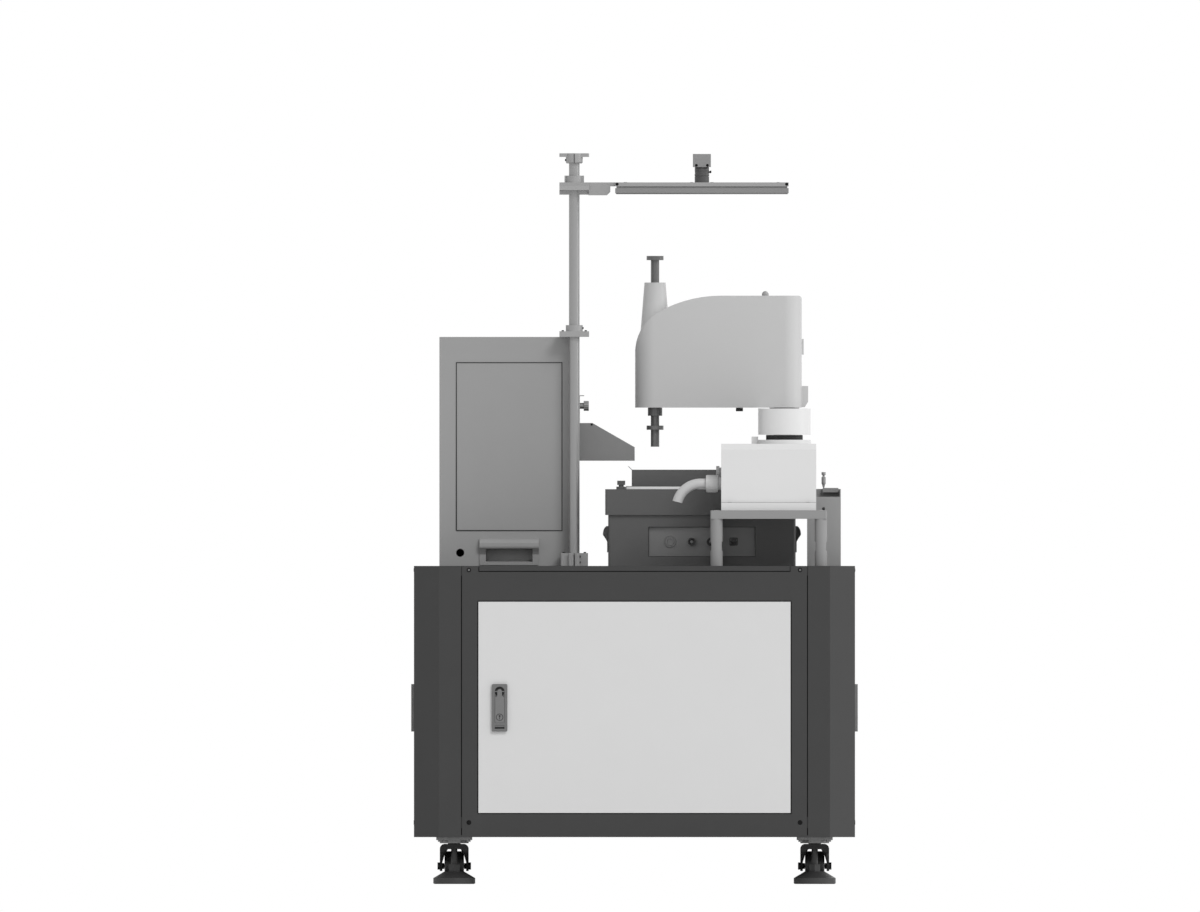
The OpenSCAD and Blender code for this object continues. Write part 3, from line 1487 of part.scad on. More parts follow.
// Vibrating drive: base block, coil and two leaf springs under the trough
module trough_drive() {
    half = trough_w / 2 - 12;
    z0 = table_z + hopper_wall;
    z1 = trough_z - touch_gap;
    color("#505050") translate([hopper_x, hopper_y, 0]) {
        block([-90, -half, z0], [90, half, z0 + 45]);
        for (x = [-75, 75]) block([x - 2, -half + 8, z0 + 44], [x + 2, half - 8, z1]);
        for (x = [-75, 75]) block([x - 10, -half + 8, z1 - 8], [x + 10, half - 8, z1]);
        block([-32, -28, z0 + 44], [32, 28, z1 - 12]);
    }
}

// Gate plate that slides over the outlet, with its thumb screws through slots in the wall
module chute_gate() {
    plate_x = hopper_x1 + touch_gap;
    color("#8a8a8a") {
        block([plate_x, hopper_y - gate_w / 2, gate_z], [plate_x + 2, hopper_y + gate_w / 2, gate_z + gate_h]);
        block([plate_x, hopper_y - gate_w / 2, gate_z + gate_h - 2],
            [plate_x + 12, hopper_y + gate_w / 2, gate_z + gate_h]);
        for (y = [-gate_w / 2 + 20, gate_w / 2 - 20]) translate([0, hopper_y + y, gate_screw_z]) {
            bar_x(8, plate_x - touch_gap - hopper_wall - 6, plate_x + 3);
            bar_x(14, plate_x + 1, plate_x + 12);
            difference() {
                bar_x(23.6, plate_x + 11, plate_x + 23);
                for (a = [0:30:330])
                    rotate([a, 0, 0]) translate([0, 12.6, 0]) bar_x(3, plate_x + 10, plate_x + 24);
            }
            bar_x(15, plate_x - touch_gap - hopper_wall - 7, plate_x - touch_gap - hopper_wall - touch_gap);
        }
    }
}

// ---------- vision ----------

module mast() {
    color("#909090") translate([mast_x, mast_y, table_z]) difference() {
        cylinder(d = mast_d, h = mast_h);
        translate([0, 0, -1]) cylinder(d = mast_d - 2 * mast_wall, h = mast_h + 2);
    }
}

// Bore of a clamp on the mast, and its slit of width w towards the front or, with m = 1, the rear
module mast_cut(z, h, slit_z, slit_h, w, m = 0) {
    translate([0, 0, z - 1]) cylinder(d = mast_d + 0.1, h = h + 2);
    mirror([0, m, 0]) block([-w / 2, -clamp_d, slit_z], [w / 2, 0, slit_z + slit_h]);
}

module mast_clamps() {
    top_z = table_z + mast_h;
    rest_z = table_z + hopper_h;
    over = 16;
    ear_w = 25.4;
    ear_out = 9;
    flange_t = 13.4;
    wing_t = 8.6;
    top_hub_h = 24;
    color("#9a9a9a") translate([mast_x, mast_y, 0]) {
        difference() {
            union() {
                translate([0, 0, table_z]) linear_extrude(clamp_h) round_rect(clamp_w - 5.5, clamp_d, 3);
                block([-ear_w / 2, -clamp_d / 2 - ear_out, table_z], [ear_w / 2, 0, table_z + clamp_h]);
            }
            mast_cut(table_z, clamp_h, table_z - 1, clamp_h + 2, 3.4);
        }
        difference() {
            union() {
                block([-clamp_w / 2, -clamp_d / 2, rest_z], [clamp_w / 2, mast_off + over, rest_z + flange_t]);
                translate([0, 0, rest_z + flange_t - 1]) cylinder(d = hub_d, h = 15.5);
            }
            mast_cut(rest_z, 28, rest_z + flange_t, 15, 2, 1);
        }
        difference() {
            union() {
                translate([0, 0, top_z - wing_t]) linear_extrude(wing_t) round_rect(clamp_w, 22, 3);
                translate([0, 0, top_z - top_hub_h + 3]) cylinder(d = hub_d, h = top_hub_h - 3);
                translate([0, 0, top_z - top_hub_h]) cylinder(d1 = hub_d - 4, d2 = hub_d, h = 3 + eps);
            }
            mast_cut(top_z - top_hub_h, top_hub_h, top_z - top_hub_h - 1, top_hub_h + 2, 2.6);
        }
    }
}

// Clamp block, gusset and the square plate that carries the light and the camera
module camera_arm() {
    hub_h = 16;
    half = light_w / 2;
    window = light_w - 90;
    bridge_w = 70;
    view_d = lens_d - 4;
    gusset_l = 50;
    color("#949494") difference() {
        union() {
            translate([mast_x, mast_y, 0]) {
                along_x(-clamp_w / 2, clamp_w / 2) translate([0, arm_top_z])
                    polygon([[-clamp_d / 2, 0], [-clamp_d / 2, -0.29 * arm_clamp_h],
                        [-clamp_d / 2 - 8, -0.63 * arm_clamp_h], [-clamp_d / 4, -0.655 * arm_clamp_h],
                        [-clamp_d / 4, -arm_clamp_h], [clamp_d / 2, -arm_clamp_h], [clamp_d / 2, 0]]);
                translate([0, 0, arm_top_z - 1]) cylinder(d = hub_d - 1, h = hub_h + 1);
                block([-hub_d / 2 - 3, -6, arm_top_z - 1], [hub_d / 2 + 3, 6, arm_top_z + hub_h]);
                along_y(-clamp_d / 4, clamp_d / 2 - 2)
                    polygon([[clamp_w / 2 - 1, arm_top_z], [clamp_w / 2 - 1, arm_top_z - arm_clamp_h],
                        [clamp_w / 2 + gusset_l - 8, arm_top_z - arm_clamp_h],
                        [clamp_w / 2 + gusset_l, arm_top_z - arm_clamp_h + 8],
                        [clamp_w / 2 + gusset_l, arm_top_z]]);
                block([clamp_w / 2 - 1, -clamp_d / 2 + 2, arm_plate_z],
                    [feeder_x - half - mast_x + 1, clamp_d / 2 - 2, arm_top_z]);
            }
            translate([feeder_x, feeder_y, arm_plate_z]) linear_extrude(arm_plate_t) {
                difference() {
                    square(light_w, center = true);
                    square(window, center = true);
                }
                square([bridge_w, window + 2], center = true);
            }
        }
        translate([mast_x, mast_y, arm_plate_z - 30])
            cylinder(d = mast_d + 2 * run_gap, h = arm_top_z - arm_plate_z + 60);
        translate([mast_x, mast_y, 0])
            block([-1, 0, arm_top_z - arm_clamp_h - 1], [1, clamp_d, arm_top_z + hub_h + 1]);
        translate([feeder_x, feeder_y, arm_plate_z - 1]) cylinder(d = view_d, h = arm_plate_t + 2);
    }
}

module light_frame() {
    rim = 8;
    bevel = 3;
    step_h = 4;
    color("#8a8a8a") translate([feeder_x, feeder_y, light_z]) difference() {
        union() {
            linear_extrude(bevel + eps, slices = 1, scale = light_w / (light_w - 2 * bevel))
                square(light_w - 2 * bevel, center = true);
            translate([0, 0, bevel]) linear_extrude(light_t - step_h - bevel) square(light_w, center = true);
            linear_extrude(light_t) square(light_w - 6, center = true);
        }
        translate([0, 0, -1]) cylinder(d = light_hole_d, h = light_t + 2);
        translate([0, 0, -1]) linear_extrude(diffuser_t + 1.5) square(light_w - 2 * rim, center = true);
        translate([0, 0, diffuser_t]) linear_extrude(light_t - diffuser_t - 2.5) difference() {
            square(light_w - 4 * rim, center = true);
            circle(d = light_hole_d + 2 * rim);
        }
    }
}

module light_diffuser() {
    color("#f4f4f4") translate([feeder_x, feeder_y, light_z + 0.5]) linear_extrude(diffuser_t)
        difference() {
            square(light_w - 17, center = true);
            circle(d = light_hole_d);
        }
}

module camera() {
    lens_z = arm_top_z;
    body_z = lens_z + lens_h;
    ring_z = lens_z + 15;
    color("#9c9c9c") translate([feeder_x, feeder_y, 0]) {
        translate([0, 0, body_z]) linear_extrude(cam_body_h) round_rect(cam_body_w, cam_body_w, 1.5);
        difference() {
            union() {
                translate([0, 0, lens_z]) cylinder(d = lens_d, h = 15 + eps);
                translate([0, 0, ring_z]) cylinder(d = lens_d - 3, h = 2 + eps);
                translate([0, 0, ring_z + 2]) cylinder(d = lens_d, h = lens_h - 17);
                translate([0, 0, lens_z + 23]) bar_x(3, 0, lens_d / 2 + 4.5);
            }
            translate([0, 0, lens_z - 1]) cylinder(d = lens_d - 8, h = 8);
        }
    }
}

// ---------- parts box ----------

module parts_bin() {
    rail_w = 37;
    rail_x = bin_x0 + bin_w / 2 - 3;
    top_z = table_z + bin_h;
    pin_x = bin_x0 + 39;
    pin_y = bin_y0 + bin_d - 8;
    rail_top = top_z + 2.5;
    color("#8c8c8c") difference() {
        union() {
            block([bin_x0, bin_y0, table_z], [bin_x0 + bin_w, bin_y0 + bin_d, top_z]);
            block([rail_x, bin_y0 + bin_d - 16, top_z - 8],
                [rail_x + rail_w, bin_y0 + bin_d, rail_top]);
        }
        difference() {
            block([bin_x0 + bin_wall, bin_y0 + bin_wall, table_z + bin_wall],
                [bin_x0 + bin_w - bin_wall, bin_y0 + bin_d - bin_wall, top_z + 1]);
            block([rail_x, bin_y0 + bin_d - 16, top_z - 8],
                [rail_x + rail_w, bin_y0 + bin_d, rail_top]);
        }
        block([bin_x0 - 1, bin_y0 - 1, top_z - bin_notch],
            [bin_x0 + bin_w - bin_wall, bin_y0 + bin_wall + 1, top_z + 1]);
        translate([pin_x, pin_y, rail_top - 5]) cylinder(d = 3.1, h = 6);
        translate([pin_x, bin_y0 + bin_wall / 2, table_z + 135]) rotate([90, 0, 0]) cylinder(d = 6, h = bin_wall);
    }
    color("#505050") translate([pin_x, pin_y, rail_top - 4.8]) rotate_extrude()
        polygon([[0, 0], [1.5, 0], [1.5, 4.8], [3.2, 10], [3.2, 12], [pin_body_d / 2, 15], [pin_body_d / 2, pin_up - 12],
            [2.4, pin_up - 10], [2.4, pin_up - 8], [pin_body_d / 2, pin_up - 6], [pin_body_d / 2, pin_up],
            [0, pin_up]]);
}

// ---------- every node ----------

cabinet_frame();
tabletop();
front_fascia();
side_fascias();
rear_panel();
fascia_screws();
control_units();
caster_mounts();
caster_fork_fl();
caster_fork_fr();
caster_fork_rl();
caster_fork_rr();
caster_wheel_fl();
caster_wheel_fr();
caster_wheel_rl();
caster_wheel_rr();
levelling_foot_fl();
levelling_foot_fr();
levelling_foot_rl();
levelling_foot_rr();
door_front();
door_left();
door_right();
lock_front();
lock_left();
lock_right();
lever_front();
lever_left();
lever_right();
cam_front();
cam_left();
cam_right();
robot_stand();
robot_base();
cable_elbow();
arm_1();
arm_2();
arm_2_cover();
release_button();
spline_nut();
quill_shaft();
feeder_housing();
feeder_tray();
feeder_light_plate();
feeder_thumb_nuts();
carry_handles();
connector_panel();
rocker_switch();
hopper_shell();
hopper_panel();
feed_trough();
trough_drive();
chute_gate();
mast();
mast_clamps();
camera_arm();
light_frame();
light_diffuser();
camera();
parts_bin();
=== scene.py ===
"""Looks of the automatic key blank feeding and duplicating cell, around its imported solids.

Lengths are millimetres in the cell's own frame, with X to the right, Y to the back and Z up from
the floor. MM turns them into metres where a mesh is made.
"""

import math

import bmesh
import bpy
from mathutils import Matrix, Vector


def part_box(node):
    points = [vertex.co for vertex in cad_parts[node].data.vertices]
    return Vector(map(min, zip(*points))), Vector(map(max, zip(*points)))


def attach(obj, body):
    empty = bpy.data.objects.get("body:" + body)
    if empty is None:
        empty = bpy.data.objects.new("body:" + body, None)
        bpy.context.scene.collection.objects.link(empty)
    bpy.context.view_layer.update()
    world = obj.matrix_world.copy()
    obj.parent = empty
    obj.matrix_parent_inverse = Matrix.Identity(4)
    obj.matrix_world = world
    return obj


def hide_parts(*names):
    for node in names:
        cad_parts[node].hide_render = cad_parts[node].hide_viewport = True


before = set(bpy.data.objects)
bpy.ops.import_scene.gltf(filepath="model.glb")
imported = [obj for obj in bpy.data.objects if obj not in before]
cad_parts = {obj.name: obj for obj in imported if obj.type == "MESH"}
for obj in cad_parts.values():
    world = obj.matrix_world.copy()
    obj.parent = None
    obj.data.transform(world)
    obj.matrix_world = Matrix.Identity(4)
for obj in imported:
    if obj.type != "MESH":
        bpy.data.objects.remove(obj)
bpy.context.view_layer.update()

MM = 0.001
BOTH = (-1, 1)
AROUND = ((-1, -1), (1, -1), (1, 1), (-1, 1))
UP, FRONT, RIGHT, LEFT = (0, 0, 1), (0, -1, 0), (1, 0, 0), (-1, 0, 0)


# ---------- colours and nodes ----------

# Sockets of a colour mix node, which have no names of their own.
MIX_A, MIX_B, MIX_RESULT = 6, 7, 2


def linear(hex_colour):
    """An sRGB hex value as linear RGBA."""
    parts = [int(hex_colour[i:i + 2], 16) / 255 for i in (1, 3, 5)]
    curve = [c / 12.92 if c <= 0.04045 else ((c + 0.055) / 1.055) ** 2.4 for c in parts]
    return (*curve, 1.0)


def add(tree, kind, links=None, values=None, **settings):
    """Adds one node, with its linked sockets, its unlinked sockets' values and its attributes."""
    made = tree.nodes.new(kind)
    for name, value in settings.items():
        setattr(made, name, value)
    for socket, value in (values or {}).items():
        made.inputs[socket].default_value = value
    for socket, source in (links or {}).items():
        tree.links.new(source, made.inputs[socket])
    return made


def start_material(name):
    """An empty node material with its output node."""
    made = bpy.data.materials.new(name)
    made.use_nodes = True
    made.node_tree.nodes.clear()
    output = add(made.node_tree, "ShaderNodeOutputMaterial")
    return made, made.node_tree, output


# ---------- finishes ----------

# Blasted, anodised, plated and brushed grains are under 0.1 mm, too fine to show, so they are
# drawn 0.35 to 0.8 mm wide. Other grains have their real width.
# Mottling shows as clouds about 110 mm across.
CLOUDS_PER_METRE = 9.0
# Nearly all values of a noise texture lie between these two.
NOISE_LOW, NOISE_HIGH = 0.3, 0.7
# How far the rounded normal leaves the flat one where rubbing starts and where it is full, and
# the most that the worn colour then covers.
RUB_START, RUB_FULL, RUB_SHARE = 0.12, 0.5, 0.5
LEAST_ROUGHNESS = 0.04
BUMP_STRENGTH = 0.5


def rubbed(tree, base, worn, edge_normal, clouds):
    """The base colour, rubbed to the worn one in patches along the edges."""
    flat = add(tree, "ShaderNodeNewGeometry")
    apart = add(tree, "ShaderNodeVectorMath", {0: edge_normal, 1: flat.outputs["Normal"]},
                operation="DISTANCE")
    patchy = add(tree, "ShaderNodeMath", {0: apart.outputs["Value"], 1: clouds},
                 operation="MULTIPLY")
    amount = add(tree, "ShaderNodeMapRange", {"Value": patchy.outputs["Value"]},
                 {"From Min": RUB_START, "From Max": RUB_FULL, "To Min": 0.0, "To Max": RUB_SHARE})
    mixed = add(tree, "ShaderNodeMix", {"Factor": amount.outputs["Result"], MIX_A: base},
                {MIX_B: linear(worn)}, data_type="RGBA")
    return mixed.outputs[MIX_RESULT]


def finish_surface(name, colour, roughness, grain_mm, bump_mm=0.03, metallic=0.0, ior=1.5,
                   mottle=0.06, rough_spread=0.08, stretch=(1, 1, 1), edge_mm=0.8, worn=None,
                   specular=0.5, coat=0.0, coat_roughness=0.1):
    """A finish with mottled colour, uneven gloss, a fine grain and softly shaded edges.

    A stretch under 1 draws the grain out along that axis, as brushing does.
    """
    made, tree, output = start_material(name)
    place = add(tree, "ShaderNodeTexCoord")
    along = add(tree, "ShaderNodeMapping", {"Vector": place.outputs["Object"]}, {"Scale": stretch})
    clouds = add(tree, "ShaderNodeTexNoise", {"Vector": along.outputs["Vector"]},
                 {"Scale": CLOUDS_PER_METRE, "Detail": 4.0, "Roughness": 0.55})
    grain = add(tree, "ShaderNodeTexNoise", {"Vector": along.outputs["Vector"]},
                {"Scale": 1.0 / (grain_mm * MM), "Detail": 3.0, "Roughness": 0.6})
    rounded = add(tree, "ShaderNodeBevel", values={"Radius": edge_mm * MM}, samples=4)
    tone = linear(colour)[:3]
    shade = add(tree, "ShaderNodeMix", {"Factor": clouds.outputs["Fac"]},
                {MIX_A: (*(c * (1 - mottle) for c in tone), 1.0),
                 MIX_B: (*(min(1.0, c * (1 + mottle)) for c in tone), 1.0)}, data_type="RGBA")
    base = shade.outputs[MIX_RESULT]
    if worn:
        base = rubbed(tree, base, worn, rounded.outputs["Normal"], clouds.outputs["Fac"])
    gloss = add(tree, "ShaderNodeMapRange", {"Value": grain.outputs["Fac"]},
                {"From Min": NOISE_LOW, "From Max": NOISE_HIGH,
                 "To Min": max(LEAST_ROUGHNESS, roughness - rough_spread),
                 "To Max": min(1.0, roughness + rough_spread)})
    relief = add(tree, "ShaderNodeBump",
                 {"Height": grain.outputs["Fac"], "Normal": rounded.outputs["Normal"]},
                 {"Strength": BUMP_STRENGTH, "Distance": bump_mm * MM})
    surface = add(tree, "ShaderNodeBsdfPrincipled",
                  {"Base Color": base, "Roughness": gloss.outputs["Result"],
                   "Normal": relief.outputs["Normal"]},
                  {"Metallic": metallic, "IOR": ior, "Coat Weight": coat,
                   "Coat Roughness": coat_roughness, "Specular IOR Level": specular})
    tree.links.new(surface.outputs["BSDF"], output.inputs["Surface"])
    return made


# Polyester powder coat of the cabinet, sprayed and baked: dark grey and matt, with an orange peel
# of about 1.2 mm, and paler where its edges are rubbed.
cabinet_powder = finish_surface(
    "cabinet_powder_coat", "#3B3B3B", roughness=0.55, grain_mm=1.2, bump_mm=0.05, worn="#4C4C4C",
    specular=0.25)
# The same coat on the doors: light grey, even, and a touch smoother.
door_powder = finish_surface(
    "door_powder_coat", "#D0D0D0", roughness=0.48, grain_mm=1.4, bump_mm=0.04, mottle=0.012,
    specular=0.25)
# And in mid grey on the hopper, its front panel and the parts box, with the same peel.
hopper_powder = finish_surface(
    "hopper_powder_coat", "#979797", roughness=0.5, grain_mm=1.3, bump_mm=0.05, mottle=0.03,
    worn="#A8A8A8", specular=0.3)
panel_powder = finish_surface(
    "hopper_panel_powder_coat", "#969696", roughness=0.5, grain_mm=1.3, bump_mm=0.05, mottle=0.03,
    specular=0.3)
box_powder = finish_surface(
    "parts_box_powder_coat", "#9C9C9C", roughness=0.52, grain_mm=1.3, bump_mm=0.05, mottle=0.03,
    specular=0.3)
# Stoved enamel on the control units' sheet cases and vents: smooth, with a long, faint peel.
unit_enamel = finish_surface("unit_enamel", "#6A6A6A", roughness=0.4, grain_mm=2.0)
# Clear anodised sheet of their front plates: fine brushing along X under a satin film.
unit_plate = finish_surface(
    "unit_front_plate_anodised", "#A2A2A2", roughness=0.42, grain_mm=0.6, bump_mm=0.02,
    metallic=0.4, stretch=(0.06, 1, 1), mottle=0.04)
# Blackened steel of screws, grips and receptacles: oil-dark and dull.
black_steel = finish_surface(
    "blackened_steel", "#202020", roughness=0.42, grain_mm=0.4, bump_mm=0.02, metallic=1.0)
# Zinc plated steel of new screws and fan guards: bright, slightly cloudy.
zinc_plate = finish_surface(
    "zinc_plated_steel", "#B4B4B4", roughness=0.38, grain_mm=0.8, metallic=0.85, mottle=0.12)
# The same plating gone dull from handling, on small screws.
dull_zinc = finish_surface(
    "dull_zinc_plated_screw", "#707070", roughness=0.45, grain_mm=0.4, bump_mm=0.02, metallic=0.6)
# The same plating on the plates over the casters, painted darker for the shade under the cabinet.
mount_zinc_painted_shade = finish_surface(
    "zinc_pressing_painted_shade", "#7C7C7C", roughness=0.45, grain_mm=0.8, metallic=0.6, mottle=0.12)
# Painted shade of the fillet where the robot's base meets its foot, drawn as a grey bead:
# soft-looking, without gloss.
joint_shade_grey = finish_surface("painted_joint_shade", "#ACACAC", roughness=0.6, grain_mm=1.0)
# Black enamel brushed on sand castings: the sand texture shows, and edges rub to grey.
fork_enamel = finish_surface(
    "black_casting_enamel", "#1D1D1D", roughness=0.5, grain_mm=0.7, bump_mm=0.08, worn="#3A3A3A",
    specular=0.3)
# Moulded nylon of wheels, washers and connector shells: near black, with a fine eroded grain.
wheel_nylon = finish_surface(
    "moulded_nylon", "#2E2E2E", roughness=0.5, grain_mm=0.5, bump_mm=0.05, ior=1.53)
# Glass filled nylon of the levelling feet: the same tone, rougher where the fibres surface.
foot_nylon = finish_surface(
    "glass_filled_nylon", "#2E2E2E", roughness=0.55, grain_mm=0.6, bump_mm=0.07, ior=1.53)
# Stoved coat on the die-cast lock bodies: mid grey, worn bright along its thin edges.
lock_coat = finish_surface(
    "lock_stoved_coat", "#666666", roughness=0.42, grain_mm=0.6, bump_mm=0.05, worn="#929292",
    edge_mm=0.5)
# Satin plating on the cast levers: a soft metal sheen.
lever_plate = finish_surface(
    "lever_satin_plate", "#767676", roughness=0.36, grain_mm=0.4, bump_mm=0.02, metallic=0.7,
    edge_mm=0.5)
# Zinc plating on the punched cams and bent handles: bright and cloudy.
cam_zinc = finish_surface(
    "cam_zinc_plate", "#B0B0B0", roughness=0.4, grain_mm=0.8, metallic=0.9, mottle=0.12)
# Satin nickel on the stand's ground plate and bars, brushed along X.
stand_nickel = finish_surface(
    "satin_nickel_steel", "#8A8A8A", roughness=0.5, grain_mm=0.5, bump_mm=0.02, metallic=0.15,
    stretch=(0.05, 1, 1))
# White enamel sprayed on the robot's aluminium castings: semi-gloss with a slight peel.
robot_enamel = finish_surface(
    "robot_white_enamel", "#D6D6D6", roughness=0.36, grain_mm=1.6, bump_mm=0.05, mottle=0.012)
# Moulded ABS of the robot's covers: off-white, finely eroded.
cover_plastic = finish_surface(
    "robot_moulded_cover", "#BEBEBE", roughness=0.42, grain_mm=0.7, ior=1.49, mottle=0.012)
# Moulded nylon of the conduit elbow and its glands: off-white, a little waxy.
elbow_nylon = finish_surface(
    "conduit_nylon", "#BCBCBC", roughness=0.45, grain_mm=0.8, bump_mm=0.04, ior=1.53, mottle=0.02)
# Moulded ABS of the brake release button: grey with a fine grain.
button_plastic = finish_surface("button_moulded", "#9A9A9A", roughness=0.4, grain_mm=0.4, ior=1.49)
# Hardened steel shafts, ground in turning: fine bright rings, one over the other along Z.
shaft_steel = finish_surface(
    "ground_shaft_steel", "#6A6A6A", roughness=0.4, grain_mm=0.35, bump_mm=0.015, metallic=0.4,
    stretch=(1, 1, 6), mottle=0.05)
# Dark anodising on the feeder's bead-blasted aluminium: even, with a dull metal sheen.
feeder_anodise = finish_surface(
    "dark_anodised_aluminium", "#585858", roughness=0.5, grain_mm=0.6, bump_mm=0.05, metallic=0.25)
# Cast opal acrylic over the lights: milky white and smooth.
opal_acrylic = finish_surface(
    "opal_acrylic", "#F2F2F2", roughness=0.3, grain_mm=1.0, bump_mm=0.01, ior=1.49, mottle=0.01)
# Vacuum-formed antistatic sheet of the tray: dark grey, matt, slightly pebbled.
tray_sheet = finish_surface(
    "tray_antistatic_sheet", "#525252", roughness=0.5, grain_mm=0.9, bump_mm=0.05)
# Anodised aluminium of the knurled thumb nuts: a dark metal glint.
knob_anodise = finish_surface(
    "knurled_anodised_knob", "#5C5C5C", roughness=0.4, grain_mm=0.4, metallic=0.5)
# Moulded nylon of the carry handles: mid grey, textured for the hand.
handle_nylon = finish_surface(
    "handle_moulded_nylon", "#8C8C8C", roughness=0.5, grain_mm=0.6, bump_mm=0.05, ior=1.53)
# Anodised aluminium of the connector plate, brushed along X.
plate_anodise = finish_surface(
    "connector_plate_anodised", "#787878", roughness=0.45, grain_mm=0.5, metallic=0.25,
    stretch=(0.08, 1, 1))
# Polished ABS of the rocker, the push buttons and the port covers: black, painted dark grey for the
# sheen of the soft light, with clear highlights.
rocker_sheen_grey = finish_surface(
    "rocker_black_painted_sheen", "#464646", roughness=0.22, grain_mm=1.0, bump_mm=0.01, ior=1.49)
# Blasted stainless sheet of the trough: grey metal, dull and evenly pitted.
trough_blast = finish_surface(
    "blasted_stainless_steel", "#888888", roughness=0.48, grain_mm=0.4, metallic=0.5, mottle=0.08)
# Paint over the sand-cast iron of the trough's drive: dark and rough.
drive_iron = finish_surface(
    "painted_iron_casting", "#545454", roughness=0.6, grain_mm=1.0, bump_mm=0.1)
# Brushed stainless sheet of the gate, with its grain along Y.
gate_brushed = finish_surface(
    "brushed_stainless_steel", "#8E8E8E", roughness=0.36, grain_mm=0.5, bump_mm=0.02, metallic=0.65,
    stretch=(1, 0.06, 1))
# Drawn steel tube of the mast, with drawing lines along Z.
mast_tube = finish_surface(
    "drawn_steel_tube", "#969696", roughness=0.36, grain_mm=0.5, bump_mm=0.02, metallic=0.5,
    stretch=(1, 1, 0.05))
# Clear anodising on milled aluminium, for the clamps and the arm: pale, with a satin sheen.
clamp_anodise = finish_surface(
    "clear_anodised_aluminium", "#989898", roughness=0.45, grain_mm=0.5, metallic=0.35, mottle=0.05)
# Coated front glass of the lens: near black under a clear, sharp reflection.
lens_glass = finish_surface(
    "coated_lens_glass", "#14161A", roughness=0.06, grain_mm=5.0, bump_mm=0.001, ior=1.52,
    mottle=0.02, rough_spread=0.01, coat=1.0, coat_roughness=0.03)
# Black anodising on the turned lens barrel, painted mid grey for the sheen of the light over it.
lens_sheen_grey = finish_surface(
    "lens_anodise_painted_sheen", "#545454", roughness=0.4, grain_mm=0.4, metallic=0.2)
# Moulded nitrile rubber of seals and stops, black and dull; the same black also paints shade into
# dark recesses and gaps.
seal_rubber_and_shade = finish_surface("nitrile_seal_and_painted_shade", "#262626", roughness=0.6, grain_mm=0.8)
# Painted shade in the seams beside the posts, drawn as black cord: the darkest finish and the most
# matt.
seam_shade_black = finish_surface(
    "painted_seam_shade_black", "#0C0C0C", roughness=0.75, grain_mm=0.8, specular=0.2)
# Anodised extrusion of the light's housing: mid grey metal.
light_anodise = finish_surface(
    "light_housing_anodised", "#828282", roughness=0.45, grain_mm=0.5, metallic=0.35, mottle=0.05)
# Anodised die-cast case of the camera: a touch paler and finer.
camera_anodise = finish_surface(
    "camera_anodised_housing", "#929292", roughness=0.42, grain_mm=0.4, metallic=0.35)

DOORS, CORNERS = ("front", "left", "right"), ("fl", "fr", "rl", "rr")
FINISH = {
    "cabinet_frame": cabinet_powder, "tabletop": cabinet_powder, "front_fascia": cabinet_powder,
    "side_fascias": cabinet_powder, "rear_panel": cabinet_powder, "fascia_screws": black_steel,
    "control_units": unit_enamel, "caster_mounts": mount_zinc_painted_shade, "robot_stand": stand_nickel,
    "robot_base": robot_enamel, "arm_1": robot_enamel, "arm_2": robot_enamel,
    "arm_2_cover": cover_plastic, "cable_elbow": elbow_nylon, "release_button": button_plastic,
    "spline_nut": shaft_steel, "quill_shaft": shaft_steel, "feeder_housing": feeder_anodise,
    "feeder_light_plate": opal_acrylic, "feeder_tray": tray_sheet,
    "feeder_thumb_nuts": knob_anodise, "carry_handles": handle_nylon,
    "connector_panel": plate_anodise, "rocker_switch": rocker_sheen_grey,
    "hopper_shell": hopper_powder, "hopper_panel": panel_powder, "feed_trough": trough_blast,
    "trough_drive": drive_iron, "chute_gate": gate_brushed, "mast": mast_tube,
    "mast_clamps": clamp_anodise, "camera_arm": clamp_anodise, "light_frame": light_anodise,
    "light_diffuser": opal_acrylic, "camera": camera_anodise, "parts_bin": box_powder,
}
for stem, finish, ends in (
        ("door_", door_powder, DOORS), ("lock_", lock_coat, DOORS), ("lever_", lever_plate, DOORS),
        ("cam_", cam_zinc, DOORS), ("caster_fork_", fork_enamel, CORNERS),
        ("caster_wheel_", wheel_nylon, CORNERS), ("levelling_foot_", foot_nylon, CORNERS)):
    FINISH.update((stem + end, finish) for end in ends)
for node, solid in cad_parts.items():
    solid.data.materials.clear()
    solid.data.materials.append(FINISH[node])


# ---------- pieces and their shapes ----------

# Turns what is drawn round Z to each axis.
TO_AXIS = {"X": Matrix.Rotation(math.radians(90), 4, "Y"),
           "Y": Matrix.Rotation(math.radians(90), 4, "X"), "Z": Matrix.Identity(4)}
# Vertices closer than this, in metres, are one.
SAME_PLACE = 1e-7
# Steps in the round of a plate's corner.
CORNER_STEPS = 6


def linked(name, data):
    """A new object in the scene."""
    made = bpy.data.objects.new(name, data)
    bpy.context.scene.collection.objects.link(made)
    return made


def shaped(name, mesh, body, finish):
    """A finished mesh as a piece that rides on a body."""
    mesh.name = name
    mesh.materials.clear()
    mesh.materials.append(finish)
    made = linked(name, mesh)
    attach(made, body)
    return made


def moved(mesh, centre, axis):
    """A mesh that was drawn round Z, taken to its own centre and axis."""
    mesh.transform(Matrix.Translation(Vector(centre) * MM) @ TO_AXIS[axis])
    return mesh


def smoothed(mesh, degrees):
    """A mesh with smooth shading, but for edges sharper than that angle."""
    mesh.shade_smooth()
    mesh.set_sharp_from_angle(angle=math.radians(degrees))
    return mesh


def plain(made):
    """What was built as a bmesh, as a mesh."""
    mesh = bpy.data.meshes.new("plain")
    made.to_mesh(mesh)
    made.free()
    return mesh


def joined(meshes):
    """Several meshes as one."""
    whole = bmesh.new()
    for mesh in meshes:
        whole.from_mesh(mesh)
    return plain(whole)


